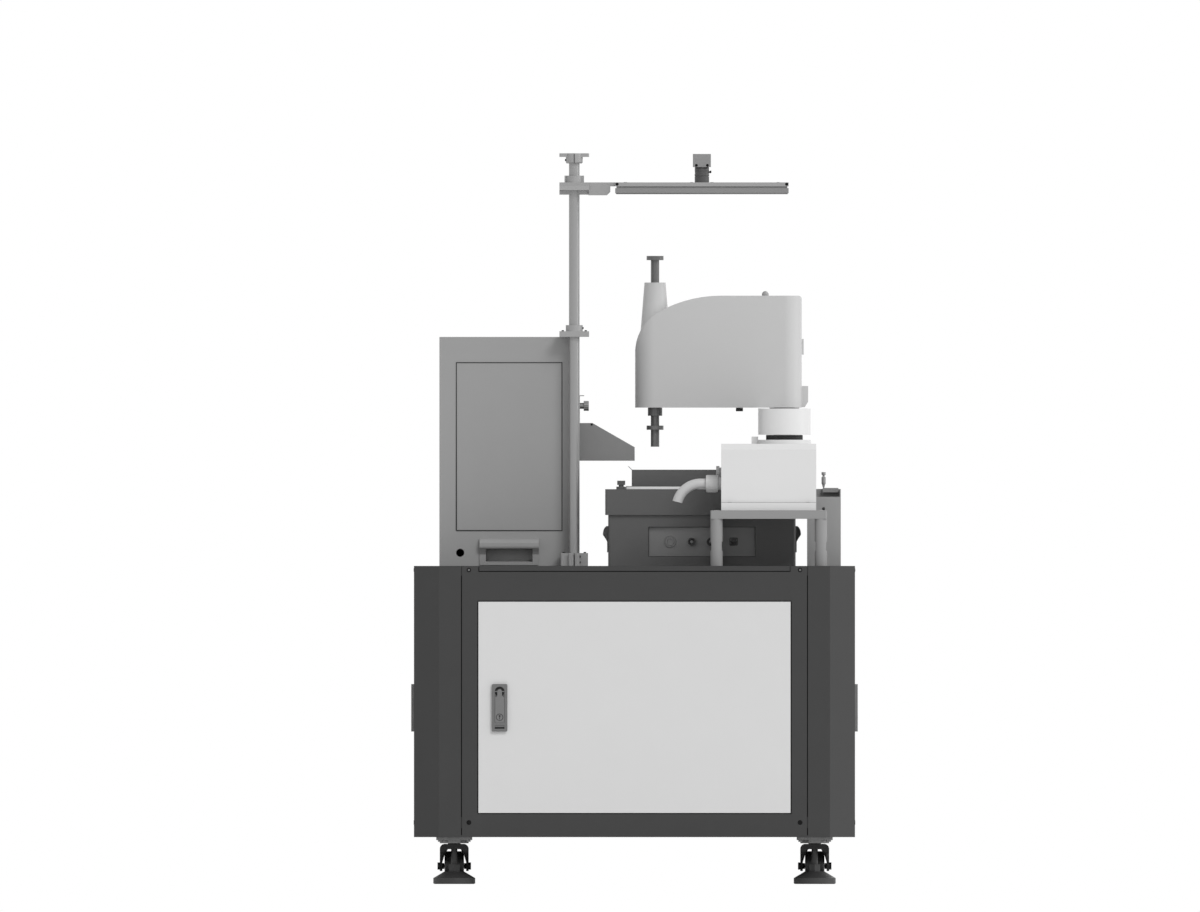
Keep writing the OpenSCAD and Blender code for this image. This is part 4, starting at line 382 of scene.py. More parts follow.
def evaluated(carrier):
    """The evaluated shape of an object as a mesh, with the object itself gone."""
    mesh = bpy.data.meshes.new_from_object(
        carrier.evaluated_get(bpy.context.evaluated_depsgraph_get()))
    bpy.data.objects.remove(carrier)
    return mesh


def neighbours(ring):
    """Each item of a closed ring with the one after it."""
    return zip(ring, ring[1:] + ring[:1])


def revolved(outline, segments, centre, axis="Z"):
    """A closed outline of (radius, height) points, turned round an axis."""
    turned = bmesh.new()
    rings = []
    for step in range(segments):
        angle = math.tau * step / segments
        rings.append([turned.verts.new((r * math.cos(angle) * MM, r * math.sin(angle) * MM, h * MM))
                      for r, h in outline])
    for here, there in neighbours(rings):
        for (a, b), (c, d) in zip(neighbours(here), neighbours(there)):
            turned.faces.new((a, c, d, b))
    bmesh.ops.remove_doubles(turned, verts=turned.verts, dist=SAME_PLACE)
    bmesh.ops.dissolve_degenerate(turned, dist=SAME_PLACE, edges=turned.edges)
    bmesh.ops.recalc_face_normals(turned, faces=turned.faces)
    return moved(smoothed(plain(turned), 30), centre, axis)


def lofted(rings):
    """A solid through rings of points, flat at both ends."""
    made = bmesh.new()
    rings = [[made.verts.new(Vector(point) * MM) for point in ring] for ring in rings]
    for low, high in zip(rings, rings[1:]):
        for (a, b), (c, d) in zip(neighbours(low), neighbours(high)):
            made.faces.new((a, b, d, c))
    made.faces.new(rings[-1])
    made.faces.new(rings[0][::-1])
    bmesh.ops.recalc_face_normals(made, faces=made.faces)
    return plain(made)


def rounded_plate(width, height, thick, radius, centre, broken=0.5):
    """A plate on a face that looks to the front, with rounded corners and a broken front edge."""
    rings = []
    for inset, out in ((0, 0), (0, thick - broken), (broken, thick)):
        rings.append([])
        for quarter, (sx, sz) in enumerate(((1, 1), (-1, 1), (-1, -1), (1, -1))):
            for step in range(CORNER_STEPS + 1):
                angle = math.radians(90 * quarter + 90 / CORNER_STEPS * step)
                x = sx * (width / 2 - radius) + (radius - inset) * math.cos(angle)
                z = sz * (height / 2 - radius) + (radius - inset) * math.sin(angle)
                rings[-1].append((centre[0] + x, centre[1] - out, centre[2] + z))
    return lofted(rings)


def broken_prism(outline, back_y, front_y, broken=0.5):
    """A convex outline of (x, z) points between two depths, with its front edge broken."""
    middle = Vector((sum(x for x, z in outline), sum(z for x, z in outline))) / len(outline)
    rings = []
    for inset, y in ((0, back_y), (0, front_y + broken), (broken, front_y)):
        rings.append([])
        for x, z in outline:
            inwards = (middle - Vector((x, z))).normalized() * inset
            rings[-1].append((x + inwards[0], y, z + inwards[1]))
    return lofted(rings)


def bent_rod(places, radius):
    """A round rod through places, with closed ends."""
    path = bpy.data.curves.new("rod", "CURVE")
    path.dimensions = "3D"
    path.bevel_depth = radius * MM
    path.bevel_resolution = 3
    path.use_fill_caps = True
    line = path.splines.new("POLY")
    line.points.add(len(places) - 1)
    for point, place in zip(line.points, places):
        point.co = (*(Vector(place) * MM), 1.0)
    return smoothed(evaluated(linked("rod_carrier", path)), 40)


def rod_frame(x, y, z, half_w, half_h, radius):
    """A rod round a rectangle that looks to the front."""
    return bent_rod([(x + sx * half_w, y, z + sz * half_h) for sx, sz in (*AROUND, AROUND[0])],
                    radius)


# ---------- repeated pieces, from geometry nodes ----------

HEAD_SIZES = ("Head diameter", "Head height", "Socket width", "Socket depth")
RIB_SIZES = ("Ring radius", "Rib length", "Rib width", "Rib height")
SLAT_SIZES = ("Slat length", "Slat width")
# Each group's screw heads: diameter, height, socket width and socket depth.
HEADS = {
    "fascia_cup_washers": (10.6, 0.5, 5.2, 0.3), "fascia_button_heads": (5.6, 0.9, 2.5, 0.6),
    "fascia_black_heads": (11.4, 0.7, 4.5, 0.5), "stand_plate_screws": (13, 0.5, 6, 0.45),
    "robot_foot_screws": (10.5, 0.5, 5, 0.4), "mast_clamp_screws": (6.5, 2.5, 3, 1.4),
    "mast_clamping_screws": (5.5, 2.2, 2.5, 1.2), "light_edge_screws": (7.5, 0.8, 3, 0.7),
    "arm_plate_screws": (8, 0.5, 4, 0.4), "camera_mount_screws": (6.8, 0.6, 3, 0.5),
    "unit_plate_screws": (6, 2.0, 3, 1.2), "supply_terminal_screws": (7, 1.6, 3.2, 1.0),
    "trough_rivets": (5.5, 1.0, 2.5, 0.6),
}
# The top of a screw's head, as a share of its foot.
HEAD_TAPER = 0.86
# Radius of a hexagon through its corners, for a width of 1 across its flats.
HEXAGON = 0.5774


def group_tree(name, sizes):
    """An empty geometry tree with a geometry input, named sizes in metres and a geometry output."""
    tree = bpy.data.node_groups.new(name, "GeometryNodeTree")
    tree.interface.new_socket("Geometry", in_out="INPUT", socket_type="NodeSocketGeometry")
    for size in sizes:
        tree.interface.new_socket(size, in_out="INPUT", socket_type="NodeSocketFloat")
    tree.interface.new_socket("Geometry", in_out="OUTPUT", socket_type="NodeSocketGeometry")
    return tree, add(tree, "NodeGroupInput").outputs, add(tree, "NodeGroupOutput")


def hand_out(tree, placed, finish, result):
    """The tree, with its instances made real, given their finish and led to its output."""
    real = add(tree, "GeometryNodeRealizeInstances", {"Geometry": placed.outputs["Instances"]})
    painted = add(tree, "GeometryNodeSetMaterial", {"Geometry": real.outputs["Geometry"]},
                  {"Material": finish})
    tree.links.new(painted.outputs["Geometry"], result.inputs["Geometry"])
    return tree


def baked(name, points, tree, sizes):
    """A geometry tree run on a mesh of points with its sizes, as a plain mesh."""
    carrier = linked(name + "_carrier", points)
    modifier = carrier.modifiers.new(tree.name, "NODES")
    modifier.node_group = tree
    for item in tree.interface.items_tree:
        if item.name in sizes:
            modifier[item.identifier] = sizes[item.name] * MM
    return evaluated(carrier)


def screw_tree(finish):
    """Socket heads on every point of a mesh, each turned to the point's own direction."""
    tree, given, result = group_tree("socket_heads", HEAD_SIZES)
    radius = add(tree, "ShaderNodeMath", {0: given["Head diameter"]}, {1: 0.5},
                 operation="MULTIPLY")
    top = add(tree, "ShaderNodeMath", {0: radius.outputs["Value"]}, {1: HEAD_TAPER},
              operation="MULTIPLY")
    body = add(tree, "GeometryNodeMeshCone",
               {"Radius Bottom": radius.outputs["Value"], "Depth": given["Head height"],
                "Radius Top": top.outputs["Value"]},
               {"Vertices": 28, "Side Segments": 1})
    socket_radius = add(tree, "ShaderNodeMath", {0: given["Socket width"]}, {1: HEXAGON},
                        operation="MULTIPLY")
    socket_length = add(tree, "ShaderNodeMath", {0: given["Socket depth"]}, {1: 2.0},
                        operation="MULTIPLY")
    hexagon = add(tree, "GeometryNodeMeshCylinder",
                  {"Radius": socket_radius.outputs["Value"],
                   "Depth": socket_length.outputs["Value"]}, {"Vertices": 6})
    lifted = add(tree, "ShaderNodeCombineXYZ", {"Z": given["Head height"]})
    socket = add(tree, "GeometryNodeTransform",
                 {"Geometry": hexagon.outputs["Mesh"], "Translation": lifted.outputs["Vector"]})
    head = add(tree, "GeometryNodeMeshBoolean",
               {"Mesh 1": body.outputs["Mesh"], "Mesh 2": socket.outputs["Geometry"]},
               operation="DIFFERENCE", solver="EXACT")
    facing = add(tree, "GeometryNodeInputNamedAttribute", values={"Name": "facing"},
                 data_type="FLOAT_VECTOR")
    turned = add(tree, "FunctionNodeAlignRotationToVector",
                 {"Vector": facing.outputs["Attribute"]}, axis="Z")
    placed = add(tree, "GeometryNodeInstanceOnPoints",
                 {"Points": given["Geometry"], "Instance": head.outputs["Mesh"],
                  "Rotation": turned.outputs["Rotation"]})
    return hand_out(tree, placed, finish, result)


def screws(name, body, places, finish=black_steel):
    """One mesh of a group's socket heads, at places given as position and direction."""
    points = bpy.data.meshes.new(name + "_points")
    points.from_pydata([Vector(position) * MM for position, _ in places], [], [])
    facing = points.attributes.new("facing", "FLOAT_VECTOR", "POINT")
    facing.data.foreach_set("vector", [part for _, direction in places for part in direction])
    mesh = baked(name, points, screw_tree(finish), dict(zip(HEAD_SIZES, HEADS[name])))
    return shaped(name, mesh, body, finish)


def rib_tree(finish):
    """Straight ribs round the Z axis, standing on a ring of points."""
    tree, given, result = group_tree("grip_ribs", RIB_SIZES)
    rib = add(tree, "ShaderNodeCombineXYZ",
              {"X": given["Rib height"], "Y": given["Rib width"], "Z": given["Rib length"]})
    bar = add(tree, "GeometryNodeMeshCube", {"Size": rib.outputs["Vector"]})
    place = add(tree, "GeometryNodeInputPosition")
    turned = add(tree, "FunctionNodeAlignRotationToVector", {"Vector": place.outputs["Position"]},
                 axis="X", pivot_axis="Z")
    spread = add(tree, "ShaderNodeVectorMath",
                 {0: place.outputs["Position"], "Scale": given["Ring radius"]}, operation="SCALE")
    ring = add(tree, "GeometryNodeSetPosition",
               {"Geometry": given["Geometry"], "Position": spread.outputs["Vector"]})
    placed = add(tree, "GeometryNodeInstanceOnPoints",
                 {"Points": ring.outputs["Geometry"], "Instance": bar.outputs["Mesh"],
                  "Rotation": turned.outputs["Rotation"]})
    return hand_out(tree, placed, finish, result)


def grip(name, body, finish, centre, axis, count, rib):
    """A ring of grip ribs round an axis, with the ring's radius and a rib's three sizes."""
    ring = bpy.data.meshes.new(name + "_ring")
    ring.from_pydata([(math.cos(math.tau * n / count), math.sin(math.tau * n / count), 0)
                      for n in range(count)], [], [])
    mesh = baked(name, ring, rib_tree(finish), dict(zip(RIB_SIZES, rib)))
    return shaped(name, moved(mesh, centre, axis), body, finish)


def slat_tree(finish):
    """Round-topped slats along X, half sunk, on every point of a mesh."""
    tree, given, result = group_tree("vent_slats", SLAT_SIZES)
    radius = add(tree, "ShaderNodeMath", {0: given["Slat width"]}, {1: 0.5}, operation="MULTIPLY")
    bar = add(tree, "GeometryNodeMeshCylinder",
              {"Radius": radius.outputs["Value"], "Depth": given["Slat length"]}, {"Vertices": 12})
    placed = add(tree, "GeometryNodeInstanceOnPoints",
                 {"Points": given["Geometry"], "Instance": bar.outputs["Mesh"]},
                 {"Rotation": (0, math.radians(90), 0)})
    return hand_out(tree, placed, finish, result)


def slats(name, body, finish, first, count, pitch, slat):
    """A column of slats from the first one's middle upwards, with a slat's length and width."""
    points = bpy.data.meshes.new(name + "_points")
    points.from_pydata([(Vector(first) + Vector(UP) * n * pitch) * MM for n in range(count)],
                       [], [])
    mesh = baked(name, points, slat_tree(finish), dict(zip(SLAT_SIZES, slat)))
    return shaped(name, mesh, body, finish)


def four_corners(x, y, z, half_x, half_y):
    """Places that look up, at the corners of a level rectangle."""
    return [((x + sx * half_x, y + sy * half_y, z), UP) for sx in BOTH for sy in BOTH]


# ---------- sizes of the cell ----------

CAB_W, CAB_D, TABLE_Z, FLOOR_Z = 1040, 900, 750, 114.5
POST_W = 111
# Each side's own width, the cell's depth behind it, and its turn from the front.
SIDES = {"front": (CAB_W, CAB_D, 0), "rear": (CAB_W, CAB_D, 180),
         "left": (CAB_D, CAB_W, -90), "right": (CAB_D, CAB_W, 90)}
DOOR_WIDTH = {"front": 736, "left": 596, "right": 596}
DOOR_FOOT, DOOR_TOP = 167.5, 665.5
STAND_X, STAND_Z = 316.5, 881
ROBOT_X, ROBOT_Y = 353.5, -290
BASE_X0, BASE_X1 = 204.5, 428.5
MAST_X, MAST_Y = -142, -97
FEEDER_X, FEEDER_Y = 159, 65
LIGHT_HALF = 204.5
ARM_PLATE_Z, ARM_TOP_Z = 1645, 1654.4


def on_side(side):
    """Takes what is drawn on a front face at y = 0 to that side of the cabinet."""
    _, reach, turn = SIDES[side]
    return Matrix.Rotation(math.radians(turn), 4, "Z") @ Matrix.Translation((0, -reach / 2 * MM, 0))


# ---------- screws on the cabinet, the stand and the mast ----------

FASCIA_SCREW_IN = 18.5
FASCIA_LOW, FASCIA_HIGH = 145, 740.4
BASE_PLATE_T = 18
# Half the spans between the screws, in X and Y.
STAND_SPAN, BASE_SPAN, MAST_SPAN, ARM_SPAN = (123, 100.5), (92, 94), (25, 13), (24, 35)
# How far the mast's foot and its clamp on the hopper reach over the tabletop.
MAST_FOOT_T, HOPPER_CLAMP_UP = 30.4, 553.4
TOP_CLAMP_Z = 1707


def fascia_spots(z):
    """Places of the fascia screws at one height, on all four sides."""
    spots = []
    for width, reach, turn in SIDES.values():
        about = Matrix.Rotation(math.radians(turn), 3, "Z")
        spots += [(about @ Vector((sx * (width / 2 - POST_W - FASCIA_SCREW_IN), -reach / 2, z)),
                   about @ Vector(FRONT)) for sx in BOTH]
    return spots


def add_cabinet_screws():
    """The fascia screws, and all screws that stand still on the tabletop."""
    washers = screws("fascia_cup_washers", "cabinet", fascia_spots(FASCIA_HIGH))
    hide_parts("fascia_screws")
    screws("fascia_button_heads", "cabinet", fascia_spots(FASCIA_HIGH), finish=dull_zinc)
    screws("fascia_black_heads", "cabinet", fascia_spots(FASCIA_LOW))
    screws("stand_plate_screws", "cabinet", four_corners(STAND_X, ROBOT_Y, STAND_Z, *STAND_SPAN),
           zinc_plate)
    screws("robot_foot_screws", "cabinet",
           four_corners(STAND_X, ROBOT_Y, STAND_Z + BASE_PLATE_T, *BASE_SPAN))
    from_above = four_corners(MAST_X, MAST_Y, TABLE_Z + MAST_FOOT_T, *MAST_SPAN)
    from_above += [((MAST_X + sx * 27, MAST_Y + 38, TABLE_Z + HOPPER_CLAMP_UP), UP)
                   for sx in BOTH]
    screws("mast_clamp_screws", "cabinet", from_above)
    # The screws that close the clamps go in from their sides.
    closing = [((MAST_X + 12.7, MAST_Y - 24.5, TABLE_Z + up), RIGHT) for up in (8.5, 22)]
    closing += [((MAST_X + 19.9, MAST_Y - 1, TABLE_Z + HOPPER_CLAMP_UP + 7.6), RIGHT),
                ((MAST_X - 19.7, MAST_Y - 3, TOP_CLAMP_Z), LEFT)]
    screws("mast_clamping_screws", "cabinet", closing)


# ---------- camera arm ----------

EDGE_SCREW_IN, EDGE_SCREW_UP = 4.5, 5.2
PLATE_SCREW_OUT = 180
CAMERA_SCREW_Z = 1694.5
GUSSET_X0, GUSSET_X1, GUSSET_DEEP, GUSSET_CUT = -108, -57, 30.4, 8
GUSSET_BACK, GUSSET_FRONT = MAST_Y - 9, MAST_Y - 18.2


def add_arm_screws():
    """Screws of the light's edges, of the arm's plate and of the camera's mount."""
    edges = [((FEEDER_X + sx * (LIGHT_HALF - EDGE_SCREW_IN), FEEDER_Y + sy * LIGHT_HALF,
               ARM_PLATE_Z + EDGE_SCREW_UP), (0, sy, 0)) for sx in BOTH for sy in BOTH]
    screws("light_edge_screws", "camera_arm", edges)
    tops = [((FEEDER_X + sx * PLATE_SCREW_OUT, FEEDER_Y + sy * PLATE_SCREW_OUT, ARM_TOP_Z), UP)
            for sx in (-1, 0, 1) for sy in BOTH]
    tops += four_corners(FEEDER_X, FEEDER_Y, ARM_TOP_Z, *ARM_SPAN)
    screws("arm_plate_screws", "camera_arm", tops)
    mount = [((FEEDER_X + sx * 13, FEEDER_Y + sy * 21.3, CAMERA_SCREW_Z), (0, sy, 0))
             for sy in BOTH for sx in BOTH]
    screws("camera_mount_screws", "camera_arm", mount)


def on_lens(up, out=0):
    """A place on the lens's axis over the arm's plate, or out to the right of it."""
    return (FEEDER_X + out, FEEDER_Y, ARM_TOP_Z + up)


def add_lens_and_gusset():
    """The lens's focus grip, barrel, thumb screw and front glass, and the cheek of the gusset."""
    grip("lens_focus_grip", "camera_arm", black_steel, on_lens(7), "Z", 48,
         (16.4, 9, 0.8, 0.9))
    barrel = [(16.52, 0.2), (17.1, 0.5), (17.1, 13.4), (16.7, 13.8), (16.7, 15.2), (17.3, 15.6),
              (17.3, 19.6), (16.7, 20.0), (16.7, 26.5), (17.0, 26.9), (17.0, 34.6), (16.6, 35.4),
              (16.52, 35.4)]
    shaped("lens_barrel_sleeve", revolved(barrel, 96, on_lens(0)), "camera_arm",
           lens_sheen_grey)
    thumb = [(0, 0), (1.5, 0), (1.5, 2.2), (2.5, 2.3), (2.8, 2.7), (2.8, 5.1), (2.4, 5.6), (0, 5.6)]
    shaped("lens_thumb_screw", revolved(thumb, 32, on_lens(25, 16.8), "X"), "camera_arm",
           black_steel)
    foot_z = ARM_TOP_Z - GUSSET_DEEP
    cheek = [(GUSSET_X0, ARM_TOP_Z), (GUSSET_X1, ARM_TOP_Z), (GUSSET_X1, foot_z + GUSSET_CUT),
             (GUSSET_X1 - GUSSET_CUT, foot_z), (GUSSET_X0, foot_z)]
    shaped("camera_arm_gusset_cheek", broken_prism(cheek, GUSSET_BACK, GUSSET_FRONT),
           "camera_arm", clamp_anodise)
    glass = [(0, -1.6), (4, -1.4), (8, -0.8), (12.4, 0.4), (12.4, 2.0), (0, 2.0)]
    shaped("lens_front_glass", revolved(glass, 48, on_lens(5)), "camera_arm",
           lens_glass)


# ---------- robot ----------

AXIS_SEAL_Z = 1047.2
STOP_PAD = (247.5, 68.4, 1118.4)
BEAD_OUT, BEAD_Z = 88.7, 899.6
CONDUIT_GLAND, BLANK_GLAND = (BASE_X0 - 22, -325, 944), (BASE_X0 - 8, -260, 966)


def add_robot_trim():
    """The first axis's seal, the second's stop pad, grey beads of painted shade along the base's
    foot, and the gland grips.
    """
    seal = [(42.55, 0), (43.4, 0.6), (43.4, 10.4), (42.55, 11)]
    shaped("first_axis_seal", revolved(seal, 96, (ROBOT_X, ROBOT_Y, AXIS_SEAL_Z)), "cabinet",
           seal_rubber_and_shade)
    shaped("second_axis_stop_pad", rounded_plate(16.8, 7.6, 16.8, 0.8, STOP_PAD), "arm_2",
           seal_rubber_and_shade)
    for end, y in (("front", ROBOT_Y - BEAD_OUT), ("rear", ROBOT_Y + BEAD_OUT)):
        bead = bent_rod([(BASE_X0 + 0.5, y, BEAD_Z), (BASE_X1 - 0.5, y, BEAD_Z)], 0.7)
        shaped(end + "_base_joint_shade_bead", bead, "cabinet", joint_shade_grey)
    grip("conduit_gland_grip", "cabinet", elbow_nylon, CONDUIT_GLAND, "X", 20,
         (20, 22.4, 1.6, 1.2))
    grip("blank_gland_grip", "cabinet", elbow_nylon, BLANK_GLAND, "X", 20,
         (19, 6.4, 1.6, 1.2))


# ---------- fronts of the control units ----------

# Middle, front and foot of each unit, with its width and height.
UNITS = {"controller": (-260, -150, FLOOR_Z, 270, 320), "computer": (35, -90, FLOOR_Z, 190, 210),
         "supply": (255, -25, FLOOR_Z, 120, 120)}
PLATE_T, PLATE_IN, PLATE_SCREW_IN = 2.0, 7, 13


def on_unit(unit, across, up, out=0):
    """A place on a unit's front plate, from the middle of the unit's width and from its foot."""
    x, y, z, _, _ = UNITS[unit]
    return (x + across, y - PLATE_T - out, z + up)


def add_front_plates():
    """A front plate on each unit, with a screw in each corner."""
    corners = []
    for unit, (x, y, _, width, height) in UNITS.items():
        centre = on_unit(unit, 0, height / 2, -PLATE_T)
        plate = rounded_plate(width - 2 * PLATE_IN, height - 2 * PLATE_IN, PLATE_T, 5, centre)
        shaped(unit + "_front_plate", plate, "cabinet", unit_plate)
        corners += [((x + sx * (width / 2 - PLATE_SCREW_IN), y - PLATE_T,
                      centre[2] + sz * (height / 2 - PLATE_SCREW_IN)), FRONT)
                    for sx in BOTH for sz in BOTH]
    screws("unit_plate_screws", "cabinet", corners)


def add_fan_guard(unit, centre, radius):
    """Wire rings and a cross in front of a fan, with its dark well."""
    wire, sides, out = 1.1, 8, 3
    x, y, z = centre
    wires = []
    for share in (1.0, 0.78, 0.56, 0.34):
        around = [(radius * share + wire * math.cos(math.tau * n / sides),
                   out + wire * math.sin(math.tau * n / sides)) for n in range(sides)]
        wires.append(revolved(around, 40, centre, "Y"))
    spoke = [(0, -radius), (wire, -radius), (wire, radius), (0, radius)]
    wires += [revolved(spoke, 10, (x, y - 2, z), axis) for axis in ("X", "Z")]
    shaped(unit + "_fan_guard", joined(wires), "cabinet", zinc_plate)
    well = [(0, 0.2), (radius * 0.3, 0.9), (radius * 0.32, 0.3), (radius + 2, 0.3),
            (radius + 3, 0.9), (radius + 4, 0.1), (0, 0.1)]
    shaped(unit + "_fan_well", revolved(well, 48, centre, "Y"), "cabinet",
           seal_rubber_and_shade)


def add_unit_fittings():
    """Fans, vents, handles, receptacles, buttons, ports and terminals of the units."""
    add_fan_guard("controller", on_unit("controller", 70, 67.5), 34)
    add_fan_guard("supply", on_unit("supply", -23, 55.5), 26)
    for unit, across, up, count, pitch, slat in (
            ("controller", -45, 33.5, 11, 7, (110, 3.4)), ("computer", 0, 21.5, 9, 6, (140, 3)),
            ("supply", 34, 35.5, 7, 6, (36, 2.6))):
        slats(unit + "_vent_slats", "cabinet", unit_enamel,
              on_unit(unit, across, up), count, pitch, slat)
    # A bow sinks 1 mm into the plate and stands 26 mm out of it, with its corners cut.
    bow = ((107.5, -1), (107.5, 22), (111.5, 26), (231.5, 26), (235.5, 22), (235.5, -1))
    bows = [bent_rod([on_unit("controller", across, up, out) for up, out in bow], 4)
            for across in (-116, 116)]
    shaped("controller_bow_handles", joined(bows), "cabinet", cam_zinc)
    receptacle = [(0, 2.0), (6.5, 2.0), (6.5, 7.5), (9.0, 7.5), (9.6, 6.9), (9.6, 2.8),
                  (12.5, 2.8), (12.5, 0.1), (0, 0.1)]
    for n in range(4):
        shaped(f"controller_receptacle_{n + 1}",
               revolved(receptacle, 40, on_unit("controller", 44 * n - 78, 287.5), "Y"),
               "cabinet", black_steel)
    button = [(0, 4.2), (5.6, 4.0), (6.4, 3.2), (6.6, 1.6), (9.4, 1.6), (10, 1.0), (10, 0.1),
              (0, 0.1)]
    for unit, across, up in (("controller", 94, 287.5), ("computer", 69, 185.5)):
        shaped(unit + "_push_button", revolved(button, 40, on_unit(unit, across, up), "Y"),
               "cabinet", rocker_sheen_grey)
    ports = [rounded_plate(30, 12, 1.4, 1.5, on_unit("computer", across, up))
             for across in (-55, -17, 21) for up in (111.5, 135.5)]
    ports.append(rounded_plate(120, 16, 1.6, 2, on_unit("computer", -23, 171.5)))
    shaped("computer_port_covers", joined(ports), "cabinet", rocker_sheen_grey)
    strip_up, strip_t = 101.5, 6
    strip = rounded_plate(96, 18, strip_t, 2, on_unit("supply", 0, strip_up))
    shaped("supply_terminal_strip", strip, "cabinet", seal_rubber_and_shade)
    screws("supply_terminal_screws", "cabinet",
           [(on_unit("supply", 12 * n - 42, strip_up, strip_t), FRONT) for n in range(8)],
           zinc_plate)


# ---------- seals, seams and pivots of the cabinet's sides ----------

LIP_IN, SEAL_DEEP, SEAL_SHORT = 3.0, 19.0, 40
SEAM_IN, SEAM_DEEP = 1.1, 3.4
PIN_IN, PIN_DEEP, WASHER_T = 20, 7, 2.4


def add_door_seals():
    """A seal behind each door on three sides of its opening, open towards the hinge."""
    low, high = DOOR_FOOT + LIP_IN, DOOR_TOP - LIP_IN
    for side in DOORS:
        half = DOOR_WIDTH[side] / 2
        path = ((half - SEAL_SHORT, low), (LIP_IN - half, low), (LIP_IN - half, high),
                (half - SEAL_SHORT, high))
        strip = bent_rod([(x, SEAL_DEEP, z) for x, z in path], 0.9)
        strip.transform(on_side(side))
        shaped(side + "_door_seal", strip, "cabinet", seal_rubber_and_shade)


def add_seam_strips():
    """Black cord in the eight upright seams between the posts and the sides, as painted shade of
    the seams.
    """
    seams = []
    for side, (width, _, _) in SIDES.items():
        for sx in BOTH:
            x = sx * (width / 2 - POST_W - SEAM_IN)
            seam = bent_rod([(x, SEAM_DEEP, FLOOR_Z + 1), (x, SEAM_DEEP, TABLE_Z - 0.5)], 1.05)
            seam.transform(on_side(side))
            seams.append(seam)
    shaped("post_seam_painted_shade", joined(seams), "cabinet", seam_shade_black)


def add_pivot_washers():
    """A washer under and over each door, round its pivot pin."""
    washer = [(3.05, 0.1), (4.9, 0.1), (5.1, 0.3), (5.1, 2.1), (4.9, 2.3), (3.05, 2.3)]
    for side in DOORS:
        washers = joined([revolved(washer, 32, (DOOR_WIDTH[side] / 2 - PIN_IN, PIN_DEEP, z))
                          for z in (DOOR_FOOT - WASHER_T, DOOR_TOP)])
        washers.transform(on_side(side))
        shaped("door_" + side + "_pivot_washers", washers, "door_" + side,
               wheel_nylon)


# ---------- locks ----------

LOCK_IN, LOCK_Z, LOCK_T = 50, 415.5, 6.5
PIVOT_UP, KEY_DOWN, SLOT_DOWN = 38.4, 22.4, 47.5


def add_lock_details():
    """Painted shade in each lock's pocket and slot, and dark marks on its lever that paint the
    shade of the key cylinder's groove, keyhole and key slot.
    """
    pocket_shade_ring = [(7.3, 0.65), (11.4, 0.65), (11.4, 2.4), (11.0, 2.4), (11.0, 0.95), (7.3, 0.95)]
    groove = [(6.9, -0.75), (8.5, -0.75), (8.5, 0.03), (6.9, 0.03)]
    keyhole = [(0, -0.2), (2.2, -0.2), (2.4, 0.03), (0, 0.04)]
    key_z = LOCK_Z - KEY_DOWN
    for side in DOORS:
        x = LOCK_IN - DOOR_WIDTH[side] / 2
        # A dark sheet round the pivot in the pocket and in the slot below, as painted shade.
        pocket_shade = joined([revolved(pocket_shade_ring, 48, (x, 0, LOCK_Z + PIVOT_UP), "Y"),
                         rounded_plate(22.6, 3.7, 0.7, 0.6, (x, -1.5, LOCK_Z - SLOT_DOWN), 0.1)])
        pocket_shade.transform(on_side(side))
        shaped("lock_" + side + "_pocket_painted_shade", pocket_shade, "door_" + side,
               seal_rubber_and_shade)
        # The painted shade on the lever stands 0.03 to 0.04 mm out of it, so that the lever's face
        # doesn't hide it.
        key_cylinder_shade = joined([revolved(groove, 48, (x, -LOCK_T, key_z), "Y"),
                        revolved(keyhole, 24, (x, -LOCK_T, key_z + 3), "Y"),
                        rounded_plate(1.5, 9.4, 1.0, 0.5, (x, 0.96 - LOCK_T, key_z), 0.02)])
        key_cylinder_shade.transform(on_side(side))
        shaped("lever_" + side + "_key_cylinder_painted_shade", key_cylinder_shade, "lever_" + side,
               seal_rubber_and_shade)


# ---------- hopper, trough and parts box ----------

# A black rod round the hopper's panel, as painted shade of the gap round it: its middle, half its
# width and height, and its radius.
PANEL_GAP_SHADE = (-295.5, -65.1, 1031.5, 124.5, 198, 1.5)
TROUGH_Y, TROUGH_HALF, RIVET_X, RIVET_Z = 130, 57, -100.9, 1083.5
BOX_HOLE_SHADE = (446, -80, 885)


def add_hopper_trim():
    """A black rod of painted shade round the hopper's panel, the trough's rivets, and a black disc
    of painted shade over the parts box's hole.
    """
    shaped("hopper_panel_gap_shade", rod_frame(*PANEL_GAP_SHADE), "cabinet", seal_rubber_and_shade)
    rivets = [((RIVET_X, TROUGH_Y + sy * TROUGH_HALF, RIVET_Z), (0, sy, 0)) for sy in BOTH]
    screws("trough_rivets", "trough", rivets)
    # A black disc over the hole in the parts box's front, painting the hole's shade.
    stop = [(0, 1.3), (2.2, 1.3), (3.2, 0.9), (3.6, 0.1), (0, 0.1)]
    shaped("parts_box_hole_shade", revolved(stop, 32, BOX_HOLE_SHADE, "Y"), "cabinet",
           seal_rubber_and_shade)


# ---------- connectors ----------

SOCKET_FACE_Y, SOCKET_Z = -144, 807
# How far right of the feeder's middle each connector and the blank plug are.
FIRST_OVER, SECOND_OVER, PLUG_OVER = -24, 20.5, -75
# The rocker's bezel stands out of the connector plate: half its width and height, and its radius.
BEZEL_OUT, BEZEL = 2.0, (8.6, 8.0, 0.9)


